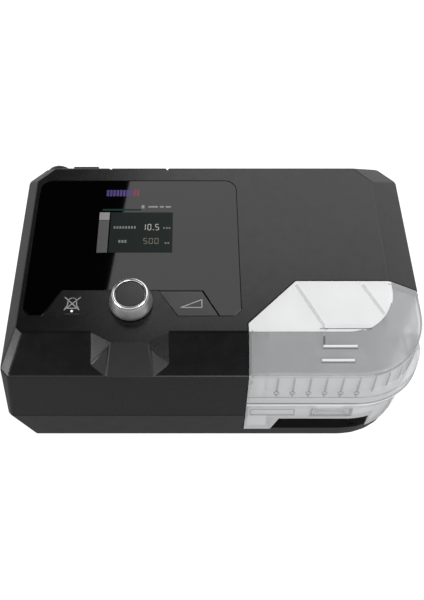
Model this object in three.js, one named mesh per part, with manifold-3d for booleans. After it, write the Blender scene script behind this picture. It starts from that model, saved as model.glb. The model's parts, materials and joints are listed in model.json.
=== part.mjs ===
// A bench-top mechanical ventilator: a bilevel breathing-therapy machine with a heated
// humidifier tank let into its front right corner.
// Millimetres, +Z up, +X to the operator's right, -Y towards the operator.
// While the pieces are built, y = 0 is the front face. The exported group is centred on x and y.

import * as THREE from "three";
import { mergeVertices } from "three/addons/utils/BufferGeometryUtils.js";
import Module from "manifold-3d";

const wasm = await Module();
wasm.setup();

// ---- driving dimensions ----------------------------------------------------------------

const BODY_LEFT = -147;
const BODY_RIGHT = 147;
const SEAM_LEFT = -149.5; // the left side leans outwards towards the seam
const BASE_LEFT = -137.5;
const BASE_RIGHT = 143;
const BODY_DEPTH = 180;
const FOOT_DROP = 1.5; // how far the rubber feet hold the base off the table
const SEAM_HEIGHT = 35; // joint between the base and the upper housing
const SHOULDER_HEIGHT = 80; // top of the upright front wall
const TOP_HEIGHT = 94.9; // where the sloping top would meet the front face
const TOP_SLOPE = 0.2254; // rise of the top for each millimetre towards the back
const TOP_FRONT_Y = 22.7;
const TOP_BACK_Y = 165.6;
const TOP_LEFT_X = -136.6;
const TOP_RIGHT_X = 122.8;
const TANK_CORNER_RADIUS = 50;
const WALL = 2.5;
const GAP = 0.4; // clearance between neighbouring pieces
const SEAM_GAP = 0.4;

const BAY_LEFT = 21;
const BAY_CORNER_Y = 29.6;
const BAY_BACK_LEFT_X = 56.2;
const BAY_BACK_Y = 63.5;
const BAY_SIDE_Y = 67;
const BAY_FLOOR = 13;

const TANK_WALL = 2.2;
const TANK_SEAM = 49.8; // joint between the tub and its lid
const LIP_REACH = 6.4; // how far the tank's rim stands out past the right side
const LIP_HEIGHT = 9;
const LIP_ROUND = 54; // the rim turns the corner in a wider curve than the walls
const TUB_BOTTOM = 14;
const PORT_HEIGHT = 78; // air ports in the back of the tank
const PORT_INLET_X = 74;
const PORT_OUTLET_X = 111;
const PORT_RADIUS = 8.5;

const PANEL_LEFT = -132.9;
const PANEL_RIGHT = 17.3;
const PANEL_FRONT = 35;
const PANEL_BACK = 153;
const NOTCH_BACK = 54.9;
const KNOB_X = -58.7;
const KNOB_Y = 44.9;
const KNOB_RADIUS = 15;
const KNOB_TOP_RADIUS = 12.5;
const KNOB_HEIGHT = 12.2;

const BLOWER_X = -18;
const BLOWER_Y = 118;

const TILT = Math.atan(TOP_SLOPE);
const ALONG = 1 / Math.cos(TILT); // length along the slope for each millimetre of y

// ---- materials ----------------------------------------------------------------------------

function material(color, roughness, metalness, extra = {}) {
  return new THREE.MeshStandardMaterial({ color, roughness, metalness, ...extra });
}

const CLEAR = { transparent: true, opacity: 0.35 };
const MATERIALS = {
  housing: material(0x2c2c2d, 0.55, 0),
  base: material(0x303031, 0.6, 0),
  panel: material(0x050505, 0.08, 0),
  key: material(0x2a2a2b, 0.35, 0),
  screen: material(0x1a2222, 0.2, 0),
  silver: material(0xa9abad, 0.35, 0.9),
  polished: material(0xe6e6e6, 0.12, 1),
  cap: material(0x3c3c3d, 0.4, 0.1),
  clear: material(0xe8ecee, 0.08, 0, CLEAR),
  lever: material(0x101010, 0.45, 0),
  rubber: material(0x151515, 0.9, 0),
  silicone: material(0xc9ccd0, 0.6, 0),
  white: material(0xdddddb, 0.5, 0),
  board: material(0x1d5a34, 0.6, 0),
  steel: material(0x8d9093, 0.35, 0.9),
  aluminium: material(0xb9bcbf, 0.4, 0.9),
  copper: material(0x9c5a32, 0.4, 0.8),
  foam: material(0x55585a, 0.95, 0),
};

// ---- solids ---------------------------------------------------------------------------------

const WELD = 1e-4;

function solidOf(geometry, placement = new THREE.Matrix4()) {
  const bare = new THREE.BufferGeometry();
  bare.setAttribute("position", geometry.getAttribute("position").clone());
  bare.setIndex(geometry.index);
  bare.applyMatrix4(placement);
  const welded = mergeVertices(bare, WELD);
  const index = welded.index.array;
  const triangles = [];
  for (let at = 0; at < index.length; at += 3) {
    const [a, b, c] = [index[at], index[at + 1], index[at + 2]];
    if (a !== b && b !== c && c !== a) {
      triangles.push(a, b, c);
    }
  }
  const vertProperties = new Float32Array(welded.getAttribute("position").array);
  const triVerts = new Uint32Array(triangles);
  return new wasm.Manifold(new wasm.Mesh({ numProp: 3, vertProperties, triVerts }));
}

function joined(...solids) {
  return solids.reduce((whole, solid) => whole.add(solid));
}

function cut(solid, ...tools) {
  return tools.reduce((rest, tool) => rest.subtract(tool), solid);
}

function shared(...solids) {
  return solids.reduce((common, solid) => common.intersect(solid));
}

function meshOf(name, solid, surface) {
  const result = solid.getMesh();
  const geometry = new THREE.BufferGeometry();
  geometry.setAttribute("position", new THREE.BufferAttribute(result.vertProperties, 3));
  geometry.setIndex(new THREE.BufferAttribute(result.triVerts, 1));
  geometry.computeVertexNormals();
  const mesh = new THREE.Mesh(geometry, surface);
  mesh.name = name;
  return mesh;
}

// A box from its low corner to its high corner.
function block(low, high) {
  const size = high.map((value, axis) => value - low[axis]);
  const middle = high.map((value, axis) => (value + low[axis]) / 2);
  const place = new THREE.Matrix4().makeTranslation(...middle);
  return solidOf(new THREE.BoxGeometry(...size), place);
}

const UP = new THREE.Vector3(0, 1, 0);

// A round bar between two points; its radius may change on the way.
function bar(start, end, startRadius, endRadius = startRadius, sides = 16) {
  const from = new THREE.Vector3(...start);
  const to = new THREE.Vector3(...end);
  const span = new THREE.Vector3().subVectors(to, from);
  const turn = new THREE.Quaternion().setFromUnitVectors(UP, span.clone().normalize());
  const middle = from.clone().addScaledVector(span, 0.5);
  const place = new THREE.Matrix4().compose(middle, turn, new THREE.Vector3(1, 1, 1));
  return solidOf(new THREE.CylinderGeometry(endRadius, startRadius, span.length(), sides), place);
}

// A tube wall between two points.
function sleeve(start, end, outer, inner, sides = 16) {
  const from = new THREE.Vector3(...start);
  const to = new THREE.Vector3(...end);
  const reach = new THREE.Vector3().subVectors(to, from).normalize();
  const before = from.clone().sub(reach).toArray();
  const after = to.clone().add(reach).toArray();
  return cut(bar(start, end, outer, outer, sides), bar(before, after, inner, inner, sides));
}

// An upright prism of a flat outline.
function prism(outline, low, high) {
  const shape = new THREE.Shape(outline.map(([x, y]) => new THREE.Vector2(x, y)));
  const options = { depth: high - low, bevelEnabled: false };
  const place = new THREE.Matrix4().makeTranslation(0, 0, low);
  return solidOf(new THREE.ExtrudeGeometry(shape, options), place);
}

// A body lofted through convex rings that all have the same number of corners.
function loft(rings) {
  const count = rings[0].length;
  const positions = rings.flat(2);
  const index = [];
  for (let level = 0; level + 1 < rings.length; level += 1) {
    for (let corner = 0; corner < count; corner += 1) {
      const next = (corner + 1) % count;
      const a = level * count + corner;
      const b = level * count + next;
      index.push(a, b, b + count, a, b + count, a + count);
    }
  }
  const last = (rings.length - 1) * count;
  for (let corner = 1; corner + 1 < count; corner += 1) {
    index.push(0, corner + 1, corner);
    index.push(last, last + corner, last + corner + 1);
  }
  const geometry = new THREE.BufferGeometry();
  geometry.setAttribute("position", new THREE.Float32BufferAttribute(positions, 3));
  geometry.setIndex(index);
  return solidOf(geometry);
}

// A body turned about a line parallel to Z through (x, y). The profile is [radius, height] pairs
// that start and end on the axis or close on themselves.
function turned(profile, x = 0, y = 0, sides = 20) {
  const points = profile.map(([radius, height]) => new THREE.Vector2(radius, height));
  const place = new THREE.Matrix4().makeTranslation(x, y, 0);
  place.multiply(new THREE.Matrix4().makeRotationX(Math.PI / 2));
  return solidOf(new THREE.LatheGeometry(points, sides), place);
}

// A ring of rectangular section turned about Z.
function washer(x, y, inner, outer, low, high, sides = 20) {
  const profile = [
    [inner, low],
    [outer, low],
    [outer, high],
    [inner, high],
    [inner, low],
  ];
  return turned(profile, x, y, sides);
}

// A round tube that follows a smooth curve through the points; inner = 0 makes it solid.
function hose(points, outer, inner, steps, sides) {
  const curve = new THREE.CatmullRomCurve3(points.map((point) => new THREE.Vector3(...point)));
  const circle = (radius) => {
    const corners = [];
    for (let side = 0; side < sides; side += 1) {
      const angle = (2 * Math.PI * side) / sides;
      corners.push(new THREE.Vector2(radius * Math.cos(angle), radius * Math.sin(angle)));
    }
    return corners;
  };
  const shape = new THREE.Shape(circle(outer));
  if (inner > 0) {
    shape.holes.push(new THREE.Path(circle(inner)));
  }
  const options = { steps, extrudePath: curve, bevelEnabled: false };
  return solidOf(new THREE.ExtrudeGeometry(shape, options));
}

// ---- the shared outer form --------------------------------------------------------------------

const CORNER_STEPS = 7;

// One level of the outer form, seen from above: chamfered corners except the round front right.
function ring(level) {
  const { left, right, front, back, round, frontCut, chamfer, height, slope = 0 } = level;
  const corners = [[left + frontCut, front]];
  for (let step = 0; step <= CORNER_STEPS; step += 1) {
    const angle = (Math.PI / 2) * (step / CORNER_STEPS - 1);
    const x = right - round + round * Math.cos(angle);
    const y = front + round + round * Math.sin(angle);
    corners.push([x, y]);
  }
  corners.push([right, back - chamfer], [right - chamfer, back]);
  corners.push([left + chamfer, back], [left, back - chamfer]);
  corners.push([left, front + frontCut]);
  return corners.map(([x, y]) => [x, y, height + slope * y]);
}

// The same level drawn in by a wall thickness and lowered where it slopes.
function inset(level, wall, drop = 0) {
  return {
    ...level,
    left: level.left + wall,
    right: level.right - wall,
    front: level.front + wall,
    back: level.back - wall,
    round: level.round - wall,
    height: level.height - drop,
  };
}

const SIDE_CHAMFER = 13;
const BASE_LEVEL = {
  left: BASE_LEFT,
  right: BASE_RIGHT,
  front: 6.2,
  back: 174,
  round: TANK_CORNER_RADIUS,
  frontCut: 3,
  chamfer: SIDE_CHAMFER,
  height: FOOT_DROP,
};
const SEAM_LEVEL = {
  left: SEAM_LEFT,
  right: BODY_RIGHT,
  front: 0,
  back: BODY_DEPTH,
  round: TANK_CORNER_RADIUS,
  frontCut: 3,
  chamfer: SIDE_CHAMFER,
  height: SEAM_HEIGHT,
};
const SHOULDER_LEVEL = {
  ...SEAM_LEVEL,
  left: BODY_LEFT,
  frontCut: 6,
  height: SHOULDER_HEIGHT,
  slope: TOP_SLOPE,
};
const TOP_LEVEL = {
  left: TOP_LEFT_X,
  right: TOP_RIGHT_X,
  front: TOP_FRONT_Y,
  back: TOP_BACK_Y,
  round: 34,
  frontCut: 5,
  chamfer: SIDE_CHAMFER,
  height: TOP_HEIGHT,
  slope: TOP_SLOPE,
};

function upperForm(wall = 0, floor = SEAM_HEIGHT + SEAM_GAP / 2) {
  const seam = { ...inset(SEAM_LEVEL, wall), height: floor };
  const shoulder = inset(SHOULDER_LEVEL, wall, wall / 2);
  const top = inset(TOP_LEVEL, wall / 2, wall);
  return loft([ring(seam), ring(shoulder), ring(top)]);
}

function baseForm(wall = 0, ceiling = SEAM_HEIGHT - SEAM_GAP / 2) {
  const base = { ...inset(BASE_LEVEL, wall), height: FOOT_DROP + wall };
  const seam = { ...inset(SEAM_LEVEL, wall), height: ceiling };
  return loft([ring(base), ring(seam)]);
}

// The bay that the tank stands in, grown outwards by a margin.
function bayOutline(margin) {
  const diagonal = margin * Math.tan(Math.PI / 8);
  return [
    [BAY_LEFT - margin, -20],
    [200, -20],
    [200, BAY_SIDE_Y + margin + 8.5],
    [BODY_RIGHT, BAY_SIDE_Y + margin],
    [TOP_RIGHT_X, BAY_BACK_Y + margin],
    [BAY_BACK_LEFT_X - diagonal, BAY_BACK_Y + margin],
    [BAY_LEFT - margin, BAY_CORNER_Y + diagonal],
  ];
}

// ---- housing --------------------------------------------------------------------------------

// The slab that the display and the keys lie in, in the sloping frame of the top.
function slope(x, y, height) {
  return [x, y * ALONG, height];
}

const SLOPE_PLACE = new THREE.Matrix4()
  .makeTranslation(0, 0, TOP_HEIGHT)
  .multiply(new THREE.Matrix4().makeRotationX(TILT));

// A prism drawn on the sloping top; heights are measured square to it.
function slopePrism(outline, low, high, onBody = false) {
  const shape = new THREE.Shape(outline.map(([x, y]) => new THREE.Vector2(x, y * ALONG)));
  const lift = new THREE.Matrix4().makeTranslation(0, 0, low);
  const place = onBody ? SLOPE_PLACE.clone().multiply(lift) : lift;
  const options = { depth: high - low, bevelEnabled: false };
  return solidOf(new THREE.ExtrudeGeometry(shape, options), place);
}

function arc(x, y, radius, start, end, steps) {
  const points = [];
  for (let step = 0; step <= steps; step += 1) {
    const angle = start + ((end - start) * step) / steps;
    points.push([x + radius * Math.cos(angle), y + radius * Math.sin(angle)]);
  }
  return points;
}

const PANEL_CORNER = 9;

// The whole inlaid area of the top: square-cut front corners, rounded back corners.
function panelOutline(margin) {
  const left = PANEL_LEFT - margin;
  const right = PANEL_RIGHT + margin;
  const front = PANEL_FRONT - margin;
  const back = PANEL_BACK + margin;
  const cutOff = 5;
  return [
    [left, front + cutOff],
    [left + cutOff, front],
    [right - cutOff, front],
    [right, front + cutOff],
    ...arc(right - PANEL_CORNER, back - PANEL_CORNER, PANEL_CORNER, 0, Math.PI / 2, 4),
    ...arc(left + PANEL_CORNER, back - PANEL_CORNER, PANEL_CORNER, Math.PI / 2, Math.PI, 4),
  ];
}

// The tongue of housing that carries the knob, grown by a margin.
const BOSS_BACK_HALF = 18.5;
const BOSS_FRONT_HALF = 32;
function bossOutline(margin) {
  const front = PANEL_FRONT - 6;
  const back = NOTCH_BACK + margin;
  const growth = (BOSS_FRONT_HALF - BOSS_BACK_HALF) / (NOTCH_BACK - PANEL_FRONT);
  const frontHalf = BOSS_BACK_HALF + growth * (back - front) + margin;
  const backHalf = BOSS_BACK_HALF + margin;
  return [
    [KNOB_X - frontHalf, front],
    [KNOB_X + frontHalf, front],
    [KNOB_X + backHalf, back],
    [KNOB_X - backHalf, back],
  ];
}

// The keys flank the tongue that carries the knob. Each shares one slanting edge with it.
const KEY_FRONT = PANEL_FRONT;
const MUTE_OUTLINE = [
  [-118.6, KEY_FRONT],
  [KNOB_X - BOSS_FRONT_HALF - GAP, KEY_FRONT],
  [KNOB_X - BOSS_BACK_HALF - GAP, NOTCH_BACK - GAP],
  [-107, NOTCH_BACK - GAP],
];
const RAMP_OUTLINE = [
  [KNOB_X + BOSS_FRONT_HALF + GAP, KEY_FRONT],
  [1.6, KEY_FRONT],
  [-9.6, NOTCH_BACK - GAP],
  [KNOB_X + BOSS_BACK_HALF + GAP, NOTCH_BACK - GAP],
];

function grown(outline, margin) {
  const middle = outline.reduce((sum, [x, y]) => [sum[0] + x / 4, sum[1] + y / 4], [0, 0]);
  return outline.map(([x, y]) => [
    x + margin * Math.sign(x - middle[0]),
    y + margin * Math.sign(y - middle[1]),
  ]);
}

const BOARD_HEIGHT = 8;
const BOARD = { left: -118, right: -52, front: 18, back: 92 };
const BOARD_POSTS = [
  [BOARD.left + 5, BOARD.front + 5],
  [BOARD.right - 5, BOARD.front + 5],
  [BOARD.left + 5, BOARD.back - 5],
  [BOARD.right - 5, BOARD.back - 5],
];

const LEDGE_TOP = -2.6;
const LEDGE_BOTTOM = -5.4;

const POST_SPOTS = [
  [-126, 24],
  [-126, 152],
  [124, 152],
  [9, 24],
];
const SCREW_HOLE = 1.8;
const POST_RADIUS = 5;

// The wedge under the knob that carries the top forward over the sloping front band. It is even
// about the knob's middle, and its flanks run out into the band.
const PILLAR = { foot: 16.5, crown: 13.7, crownY: 12.4, spread: 26.5, flankY: 6, flankZ: 85.2 };

function knobPillar() {
  const { foot, crown, crownY, spread, flankY, flankZ } = PILLAR;
  const onTop = (x, y) => [KNOB_X + x, y, TOP_HEIGHT + TOP_SLOPE * y];
  const back = TOP_FRONT_Y + 6;
  const plan = [
    [-foot, 0, SHOULDER_HEIGHT],
    [0, 0, SHOULDER_HEIGHT],
    [0, back, SHOULDER_HEIGHT],
    [-spread, back, SHOULDER_HEIGHT],
    [-spread, flankY, flankZ],
  ];
  const low = plan.map(([x, y]) => [KNOB_X + x, y, SHOULDER_HEIGHT - 8]);
  const middle = plan.map(([x, y, z]) => [KNOB_X + x, y, z]);
  const high = [
    onTop(-crown, crownY),
    onTop(0, crownY),
    onTop(0, back),
    onTop(-spread, back),
    onTop(-spread, TOP_FRONT_Y),
  ];
  const half = loft([low, middle, high]);
  const other = half.translate([-KNOB_X, 0, 0]).mirror([1, 0, 0]).translate([KNOB_X, 0, 0]);
  return joined(half, other);
}

const FILTER_LEFT = -130;
const FILTER_RIGHT = -84;
const FILTER_LOW = 46;
const FILTER_HIGH = 114;
const COVER_FRONT_Y = 175.5;
const COVER_BUMP = { x: -124, z: 113.5, radius: 11.3 };
const COVER_TAB = { left: -112, right: -92, high: 123.6 };
const FLAP_LEFT = -77;
const FLAP_RIGHT = -40;
const FLAP_LOW = 62;
const FLAP_HIGH = 96;
const FLAP_HINGE = { x: FLAP_LEFT + 1.15, y: BODY_DEPTH - 1.25, radius: 1.15 };
const NOTCH_SPOTS = [-80.5, -36];

// The outside of the filter cover, grown by a margin.
function filterCoverForm(margin) {
  const back = BODY_DEPTH - 0.1 + margin * 3;
  const front = COVER_FRONT_Y - margin;
  const plate = block(
    [FILTER_LEFT - margin, front, FILTER_LOW - margin],
    [FILTER_RIGHT + margin, back, FILTER_HIGH + margin],
  );
  const { x, z, radius } = COVER_BUMP;
  const bump = bar([x, front, z], [x, back, z], radius + margin, radius + margin, 24);
  const tab = block(
    [COVER_TAB.left - margin, front, FILTER_HIGH - 4],
    [COVER_TAB.right + margin, back, COVER_TAB.high + margin],
  );
  return joined(plate, bump, tab);
}

function upperHousing() {
  const shell = upperForm();
  const bay = prism(bayOutline(0), 0, 200);
  const bayShell = prism(bayOutline(WALL), 0, 200);
  const hollow = cut(upperForm(WALL, SEAM_HEIGHT - 5), bayShell);
  let housing = cut(joined(shell, knobPillar()), hollow, bay);

  // a frame under the display and keys, then the recess that they lie in
  const frame = slopePrism(panelOutline(3), LEDGE_BOTTOM, -1, true);
  const window = slopePrism(rectangle(-128, 12.5, 60, 148), LEDGE_BOTTOM - 1, 1, true);
  const recess = cut(
    slopePrism(panelOutline(GAP), LEDGE_TOP, 3, true),
    slopePrism(bossOutline(0), LEDGE_TOP - 1, 4, true),
  );
  housing = joined(housing, frame);
  housing = cut(housing, window, recess);
  for (const outline of [MUTE_OUTLINE, RAMP_OUTLINE]) {
    housing = cut(housing, slopePrism(grown(outline, -1.5), LEDGE_BOTTOM - 1, 1, true));
  }
  const knobHole = slopeBar(KNOB_X, KNOB_Y, LEDGE_BOTTOM - 3, 3, 4.4);
  housing = cut(housing, knobHole);

  // screw posts, each tied to a wall by a rib
  for (const [x, y] of POST_SPOTS) {
    const low = SEAM_HEIGHT + 0.6;
    const high = low + 26;
    const wallX = x < -50 ? SEAM_LEFT + 1.8 : x > 50 ? BODY_RIGHT - 1.5 : BAY_LEFT - 1;
    const rib = block([Math.min(x, wallX), y - 1.5, low + 4], [Math.max(x, wallX), y + 1.5, high]);
    const post = bar([x, y, low], [x, y, high], POST_RADIUS);
    housing = joined(housing, rib, post);
    housing = cut(housing, bar([x, y, low - 1], [x, y, low + 18], SCREW_HOLE));
  }

  // the filter pocket in the back wall, with a grid of holes at its bottom
  const pocketFront = COVER_FRONT_Y - 14;
  const pocketBox = block(
    [FILTER_LEFT - 3, pocketFront - 2, FILTER_LOW - 3],
    [FILTER_RIGHT + 3, BODY_DEPTH - 1, FILTER_HIGH + 3],
  );
  const pocket = block(
    [FILTER_LEFT + 3, pocketFront, FILTER_LOW + 5],
    [FILTER_RIGHT - 3, BODY_DEPTH + 1, FILTER_HIGH - 5],
  );
  housing = cut(joined(housing, shared(pocketBox, shell)), pocket, filterCoverForm(GAP));
  for (let column = 0; column < 4; column += 1) {
    const left = FILTER_LEFT + 7 + column * 9.5;
    const slot = block(
      [left, pocketFront - 3, FILTER_LOW + 12],
      [left + 6, pocketFront + 1, FILTER_HIGH - 12],
    );
    housing = cut(housing, slot);
  }

  // the card pocket, the two vertical grooves and the outlet hole in the back wall
  const cardBox = block(
    [FLAP_LEFT - 2, 166, FLAP_LOW - 2],
    [FLAP_RIGHT + 2, BODY_DEPTH - 1, FLAP_HIGH + 2],
  );
  const cardPocket = block(
    [FLAP_LEFT + 3, 168, FLAP_LOW + 3],
    [FLAP_RIGHT - 3, BODY_DEPTH + 1, FLAP_HIGH - 3],
  );
  const flapSeat = block(
    [FLAP_LEFT - GAP, 177.2, FLAP_LOW - GAP],
    [FLAP_RIGHT + GAP, BODY_DEPTH + 1, FLAP_HIGH + GAP],
  );
  housing = cut(joined(housing, cardBox), cardPocket, flapSeat);
  for (const x of NOTCH_SPOTS) {
    const upright = loft([grooveRing(x, SEAM_HEIGHT + 8), grooveRing(x, 150)]);
    const slanted = loft([slantedGrooveRing(x, 117), slantedGrooveRing(x, 138)]);
    housing = cut(housing, upright, slanted);
  }
  const outlet = bar([PORT_OUTLET_X, 150, PORT_HEIGHT], [PORT_OUTLET_X, 190, PORT_HEIGHT], 17.4);
  housing = cut(housing, outlet);

  // the two air holes in the back wall of the bay
  for (const x of [PORT_INLET_X, PORT_OUTLET_X]) {
    housing = cut(housing, bar([x, 55, PORT_HEIGHT], [x, 75, PORT_HEIGHT], 12.3));
  }
  return meshOf("upper_housing", housing, MATERIALS.housing);
}

// The groove in the upright back wall is a V, two millimetres deep.
function grooveRing(x, z) {
  return [
    [x - 1.9, BODY_DEPTH + 1, z],
    [x, BODY_DEPTH - 2, z],
    [x + 1.9, BODY_DEPTH + 1, z],
  ];
}

// It carries on over the slanting band behind the top and notches the top's back edge.
function slantedGrooveRing(x, z) {
  const shoulderBack = SHOULDER_HEIGHT + TOP_SLOPE * BODY_DEPTH;
  const topBack = TOP_HEIGHT + TOP_SLOPE * TOP_BACK_Y;
  const lean = (BODY_DEPTH - TOP_BACK_Y) / (topBack - shoulderBack);
  const bandY = BODY_DEPTH - (z - shoulderBack) * lean;
  return [
    [x - 1.9, bandY + 0.8, z],
    [x, bandY - 2.6, z],
    [x + 1.9, bandY + 0.8, z],
  ];
}

function rectangle(left, right, front, back) {
  return [
    [left, front],
    [right, front],
    [right, back],
    [left, back],
  ];
}

// A round bar square to the sloping top, in body coordinates.
function slopeBar(x, y, low, high, radius) {
  const lowPoint = new THREE.Vector3(...slope(x, y, low)).applyMatrix4(SLOPE_PLACE);
  const highPoint = new THREE.Vector3(...slope(x, y, high)).applyMatrix4(SLOPE_PLACE);
  return bar(lowPoint.toArray(), highPoint.toArray(), radius);
}

// ---- base -------------------------------------------------------------------------------------

const BASE_FLOOR = FOOT_DROP + WALL;
const HEATER = { left: 52, right: 122, front: 17, back: 54 };
const HEATER_TOP = TUB_BOTTOM - 0.6;
const HEATER_THICK = 3;
const SPRING_SPOTS = [
  [66, 35.5],
  [108, 35.5],
];
const FOOT_SPOTS = [
  [-112, 28],
  [-112, 156],
  [112, 156],
  [98, 36],
];
const FOOT_RADIUS = 9;
const DC_INLET = { x: 30, z: 22, radius: 6 };

function baseHousing() {
  const shell = baseForm();
  const bay = prism(bayOutline(0), BAY_FLOOR, 200);
  const bayShell = prism(bayOutline(WALL), BAY_FLOOR - WALL, 200);
  const hollow = cut(baseForm(WALL, SEAM_HEIGHT + 1), bayShell);
  let base = cut(shell, hollow, bay);

  // the heater's well in the floor of the bay, with a collar under it
  const { left, right, front, back } = HEATER;
  const well = (margin, low, high) =>
    block([left - margin, front - margin, low], [right + margin, back + margin, high]);
  base = joined(base, shared(well(3, BASE_FLOOR - 1, BAY_FLOOR - 1), shell));
  base = cut(base, well(GAP, BASE_FLOOR + 0.6, BAY_FLOOR + 1));

  for (const [x, y] of POST_SPOTS) {
    const post = bar([x, y, BASE_FLOOR - 1], [x, y, SEAM_HEIGHT], POST_RADIUS);
    base = cut(joined(base, post), bar([x, y, 0], [x, y, SEAM_HEIGHT + 1], SCREW_HOLE));
    base = cut(base, bar([x, y, 0], [x, y, FOOT_DROP + 2], SCREW_HOLE + 1.6));
  }
  for (const [x, y] of FOOT_SPOTS) {
    base = cut(base, bar([x, y, 0], [x, y, FOOT_DROP + 1], FOOT_RADIUS + GAP));
  }
  for (const [x, y] of BOARD_POSTS) {
    base = joined(base, bar([x, y, BASE_FLOOR - 0.5], [x, y, BOARD_HEIGHT - GAP], 3, 3, 12));
  }
  const { x, z, radius } = DC_INLET;
  base = cut(base, bar([x, 165, z], [x, 190, z], radius + GAP));
  return meshOf("base_housing", base, MATERIALS.base);
}

function feet() {
  return FOOT_SPOTS.map(([x, y], number) => {
    const profile = [
      [0, 0],
      [FOOT_RADIUS - 1, 0],
      [FOOT_RADIUS, 0.8],
      [FOOT_RADIUS, FOOT_DROP + 0.7],
      [0, FOOT_DROP + 0.7],
    ];
    return meshOf(`rubber_foot_${number + 1}`, turned(profile, x, y, 16), MATERIALS.rubber);
  });
}

function screws() {
  return POST_SPOTS.map(([x, y], number) => {
    const head = FOOT_DROP + 0.2;
    const profile = [
      [0, head],
      [2.9, head],
      [2.9, head + 1.5],
      [1.4, head + 1.5],
      [1.4, SEAM_HEIGHT + 15],
      [0, SEAM_HEIGHT + 15],
    ];
    return meshOf(`housing_screw_${number + 1}`, turned(profile, x, y, 10), MATERIALS.steel);
  });
}

function dcInlet() {
  const { x, z, radius } = DC_INLET;
  const back = BODY_DEPTH - 3.4;
  const shellPart = bar([x, 160, z], [x, back, z], radius);
  const socket = bar([x, 166, z], [x, back + 1, z], radius - 2);
  const pin = bar([x, 164, z], [x, back - 2, z], 0.9, 0.9, 12);
  return meshOf("dc_inlet", joined(cut(shellPart, socket), pin), MATERIALS.rubber);
}

// ---- heater -----------------------------------------------------------------------------------

function heaterPlate() {
  const { left, right, front, back } = HEATER;
  const plate = block([left, front, HEATER_TOP - HEATER_THICK], [right, back, HEATER_TOP]);
  return meshOf("heater_plate", plate, MATERIALS.aluminium);
}

function coilSpring(name, x, y, low, high, radius, wire) {
  const turns = 3;
  const stepsPerTurn = 8;
  const points = [];
  for (let step = 0; step <= turns * stepsPerTurn; step += 1) {
    const angle = (2 * Math.PI * step) / stepsPerTurn;
    const z = low + wire + ((high - low - 2 * wire) * step) / (turns * stepsPerTurn);
    points.push([x + radius * Math.cos(angle), y + radius * Math.sin(angle), z]);
  }
  return meshOf(name, hose(points, wire, 0, turns * stepsPerTurn, 5), MATERIALS.steel);
}

function heaterSprings() {
  const low = BASE_FLOOR + 0.6 + 0.3;
  const high = HEATER_TOP - HEATER_THICK - 0.3;
  return SPRING_SPOTS.map(([x, y], number) =>
    coilSpring(`heater_spring_${number + 1}`, x, y, low, high, 5, 0.6),
  );
}

// ---- water tank ---------------------------------------------------------------------------------

const LEVER_LEFT = 41;
const LEVER_RIGHT = 112;
const LEVER_TOP = 28;
const LEVER_DEPTH = 11.5;

// The outside of the tank: the machine's own form inside the bay, with a rim at the seam.
function tankForm(wall, rim) {
  const levels = [
    { ...SEAM_LEVEL, right: BODY_RIGHT - 3, front: 2.6, height: TUB_BOTTOM - wall },
    { ...SEAM_LEVEL, front: 1.2, height: TANK_SEAM - LIP_HEIGHT },
    SHOULDER_LEVEL,
    TOP_LEVEL,
  ].map((level) => inset(level, wall, wall > 0 && level.slope ? wall : 0));
  const form = loft(levels.map(ring));
  if (!rim) {
    return form;
  }
  const low = { ...SEAM_LEVEL, front: 1.2, height: TANK_SEAM - LIP_HEIGHT };
  const reach = BODY_RIGHT + LIP_REACH;
  const edge = { ...SEAM_LEVEL, front: 0.3, right: reach, round: LIP_ROUND };
  const rimLevels = [
    low,
    { ...edge, height: TANK_SEAM - 3 },
    { ...edge, height: TANK_SEAM + 7 },
    { ...SEAM_LEVEL, front: 0.3, height: TANK_SEAM + LIP_HEIGHT + 6 },
  ];
  return joined(form, loft(rimLevels.map(ring)));
}

function tankPlan(margin, low, high) {
  return prism(bayOutline(-margin), low, high);
}

function tankPorts(radius) {
  return [PORT_INLET_X, PORT_OUTLET_X].map((x) =>
    bar([x, BAY_BACK_Y - 12, PORT_HEIGHT], [x, BAY_BACK_Y + 4, PORT_HEIGHT], radius),
  );
}

// The lever's space is cut on a slant at its left end.
function leverSpace(margin) {
  const slant = 6;
  const profile = [
    [LEVER_LEFT - margin, TUB_BOTTOM - 2],
    [LEVER_RIGHT + margin, TUB_BOTTOM - 2],
    [LEVER_RIGHT + margin, LEVER_TOP + margin],
    [LEVER_LEFT + slant - margin, LEVER_TOP + margin],
  ];
  const shape = new THREE.Shape(profile.map(([x, z]) => new THREE.Vector2(x, z)));
  const depth = LEVER_DEPTH + 10;
  const place = new THREE.Matrix4().makeTranslation(0, LEVER_DEPTH, 0);
  place.multiply(new THREE.Matrix4().makeRotationX(Math.PI / 2));
  return solidOf(new THREE.ExtrudeGeometry(shape, { depth, bevelEnabled: false }), place);
}

const PIVOT = { y: 9.2, z: 22, radius: 1.4 };
const GRIP = { left: 68.5, right: 98, low: 33, high: 41.5, depth: 7 };

// The lid's hinge lies in the rim on the right side; the lid's knuckle is between the tub's two.
const HINGE = { x: BODY_RIGHT + LIP_REACH + 0.2, z: TANK_SEAM, radius: 2.3, pin: 1.1 };
const TUB_KNUCKLES = [
  [50, 53],
  [61, 64],
];
const LID_KNUCKLE = [53.4, 60.6];

function knuckle(front, back, margin) {
  const start = [HINGE.x, front - margin, HINGE.z];
  const end = [HINGE.x, back + margin, HINGE.z];
  return bar(start, end, HINGE.radius + margin, HINGE.radius + margin, 16);
}

function hingeBore() {
  const radius = HINGE.pin + 0.1;
  return bar([HINGE.x, 40, HINGE.z], [HINGE.x, 75, HINGE.z], radius, radius, 16);
}

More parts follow.
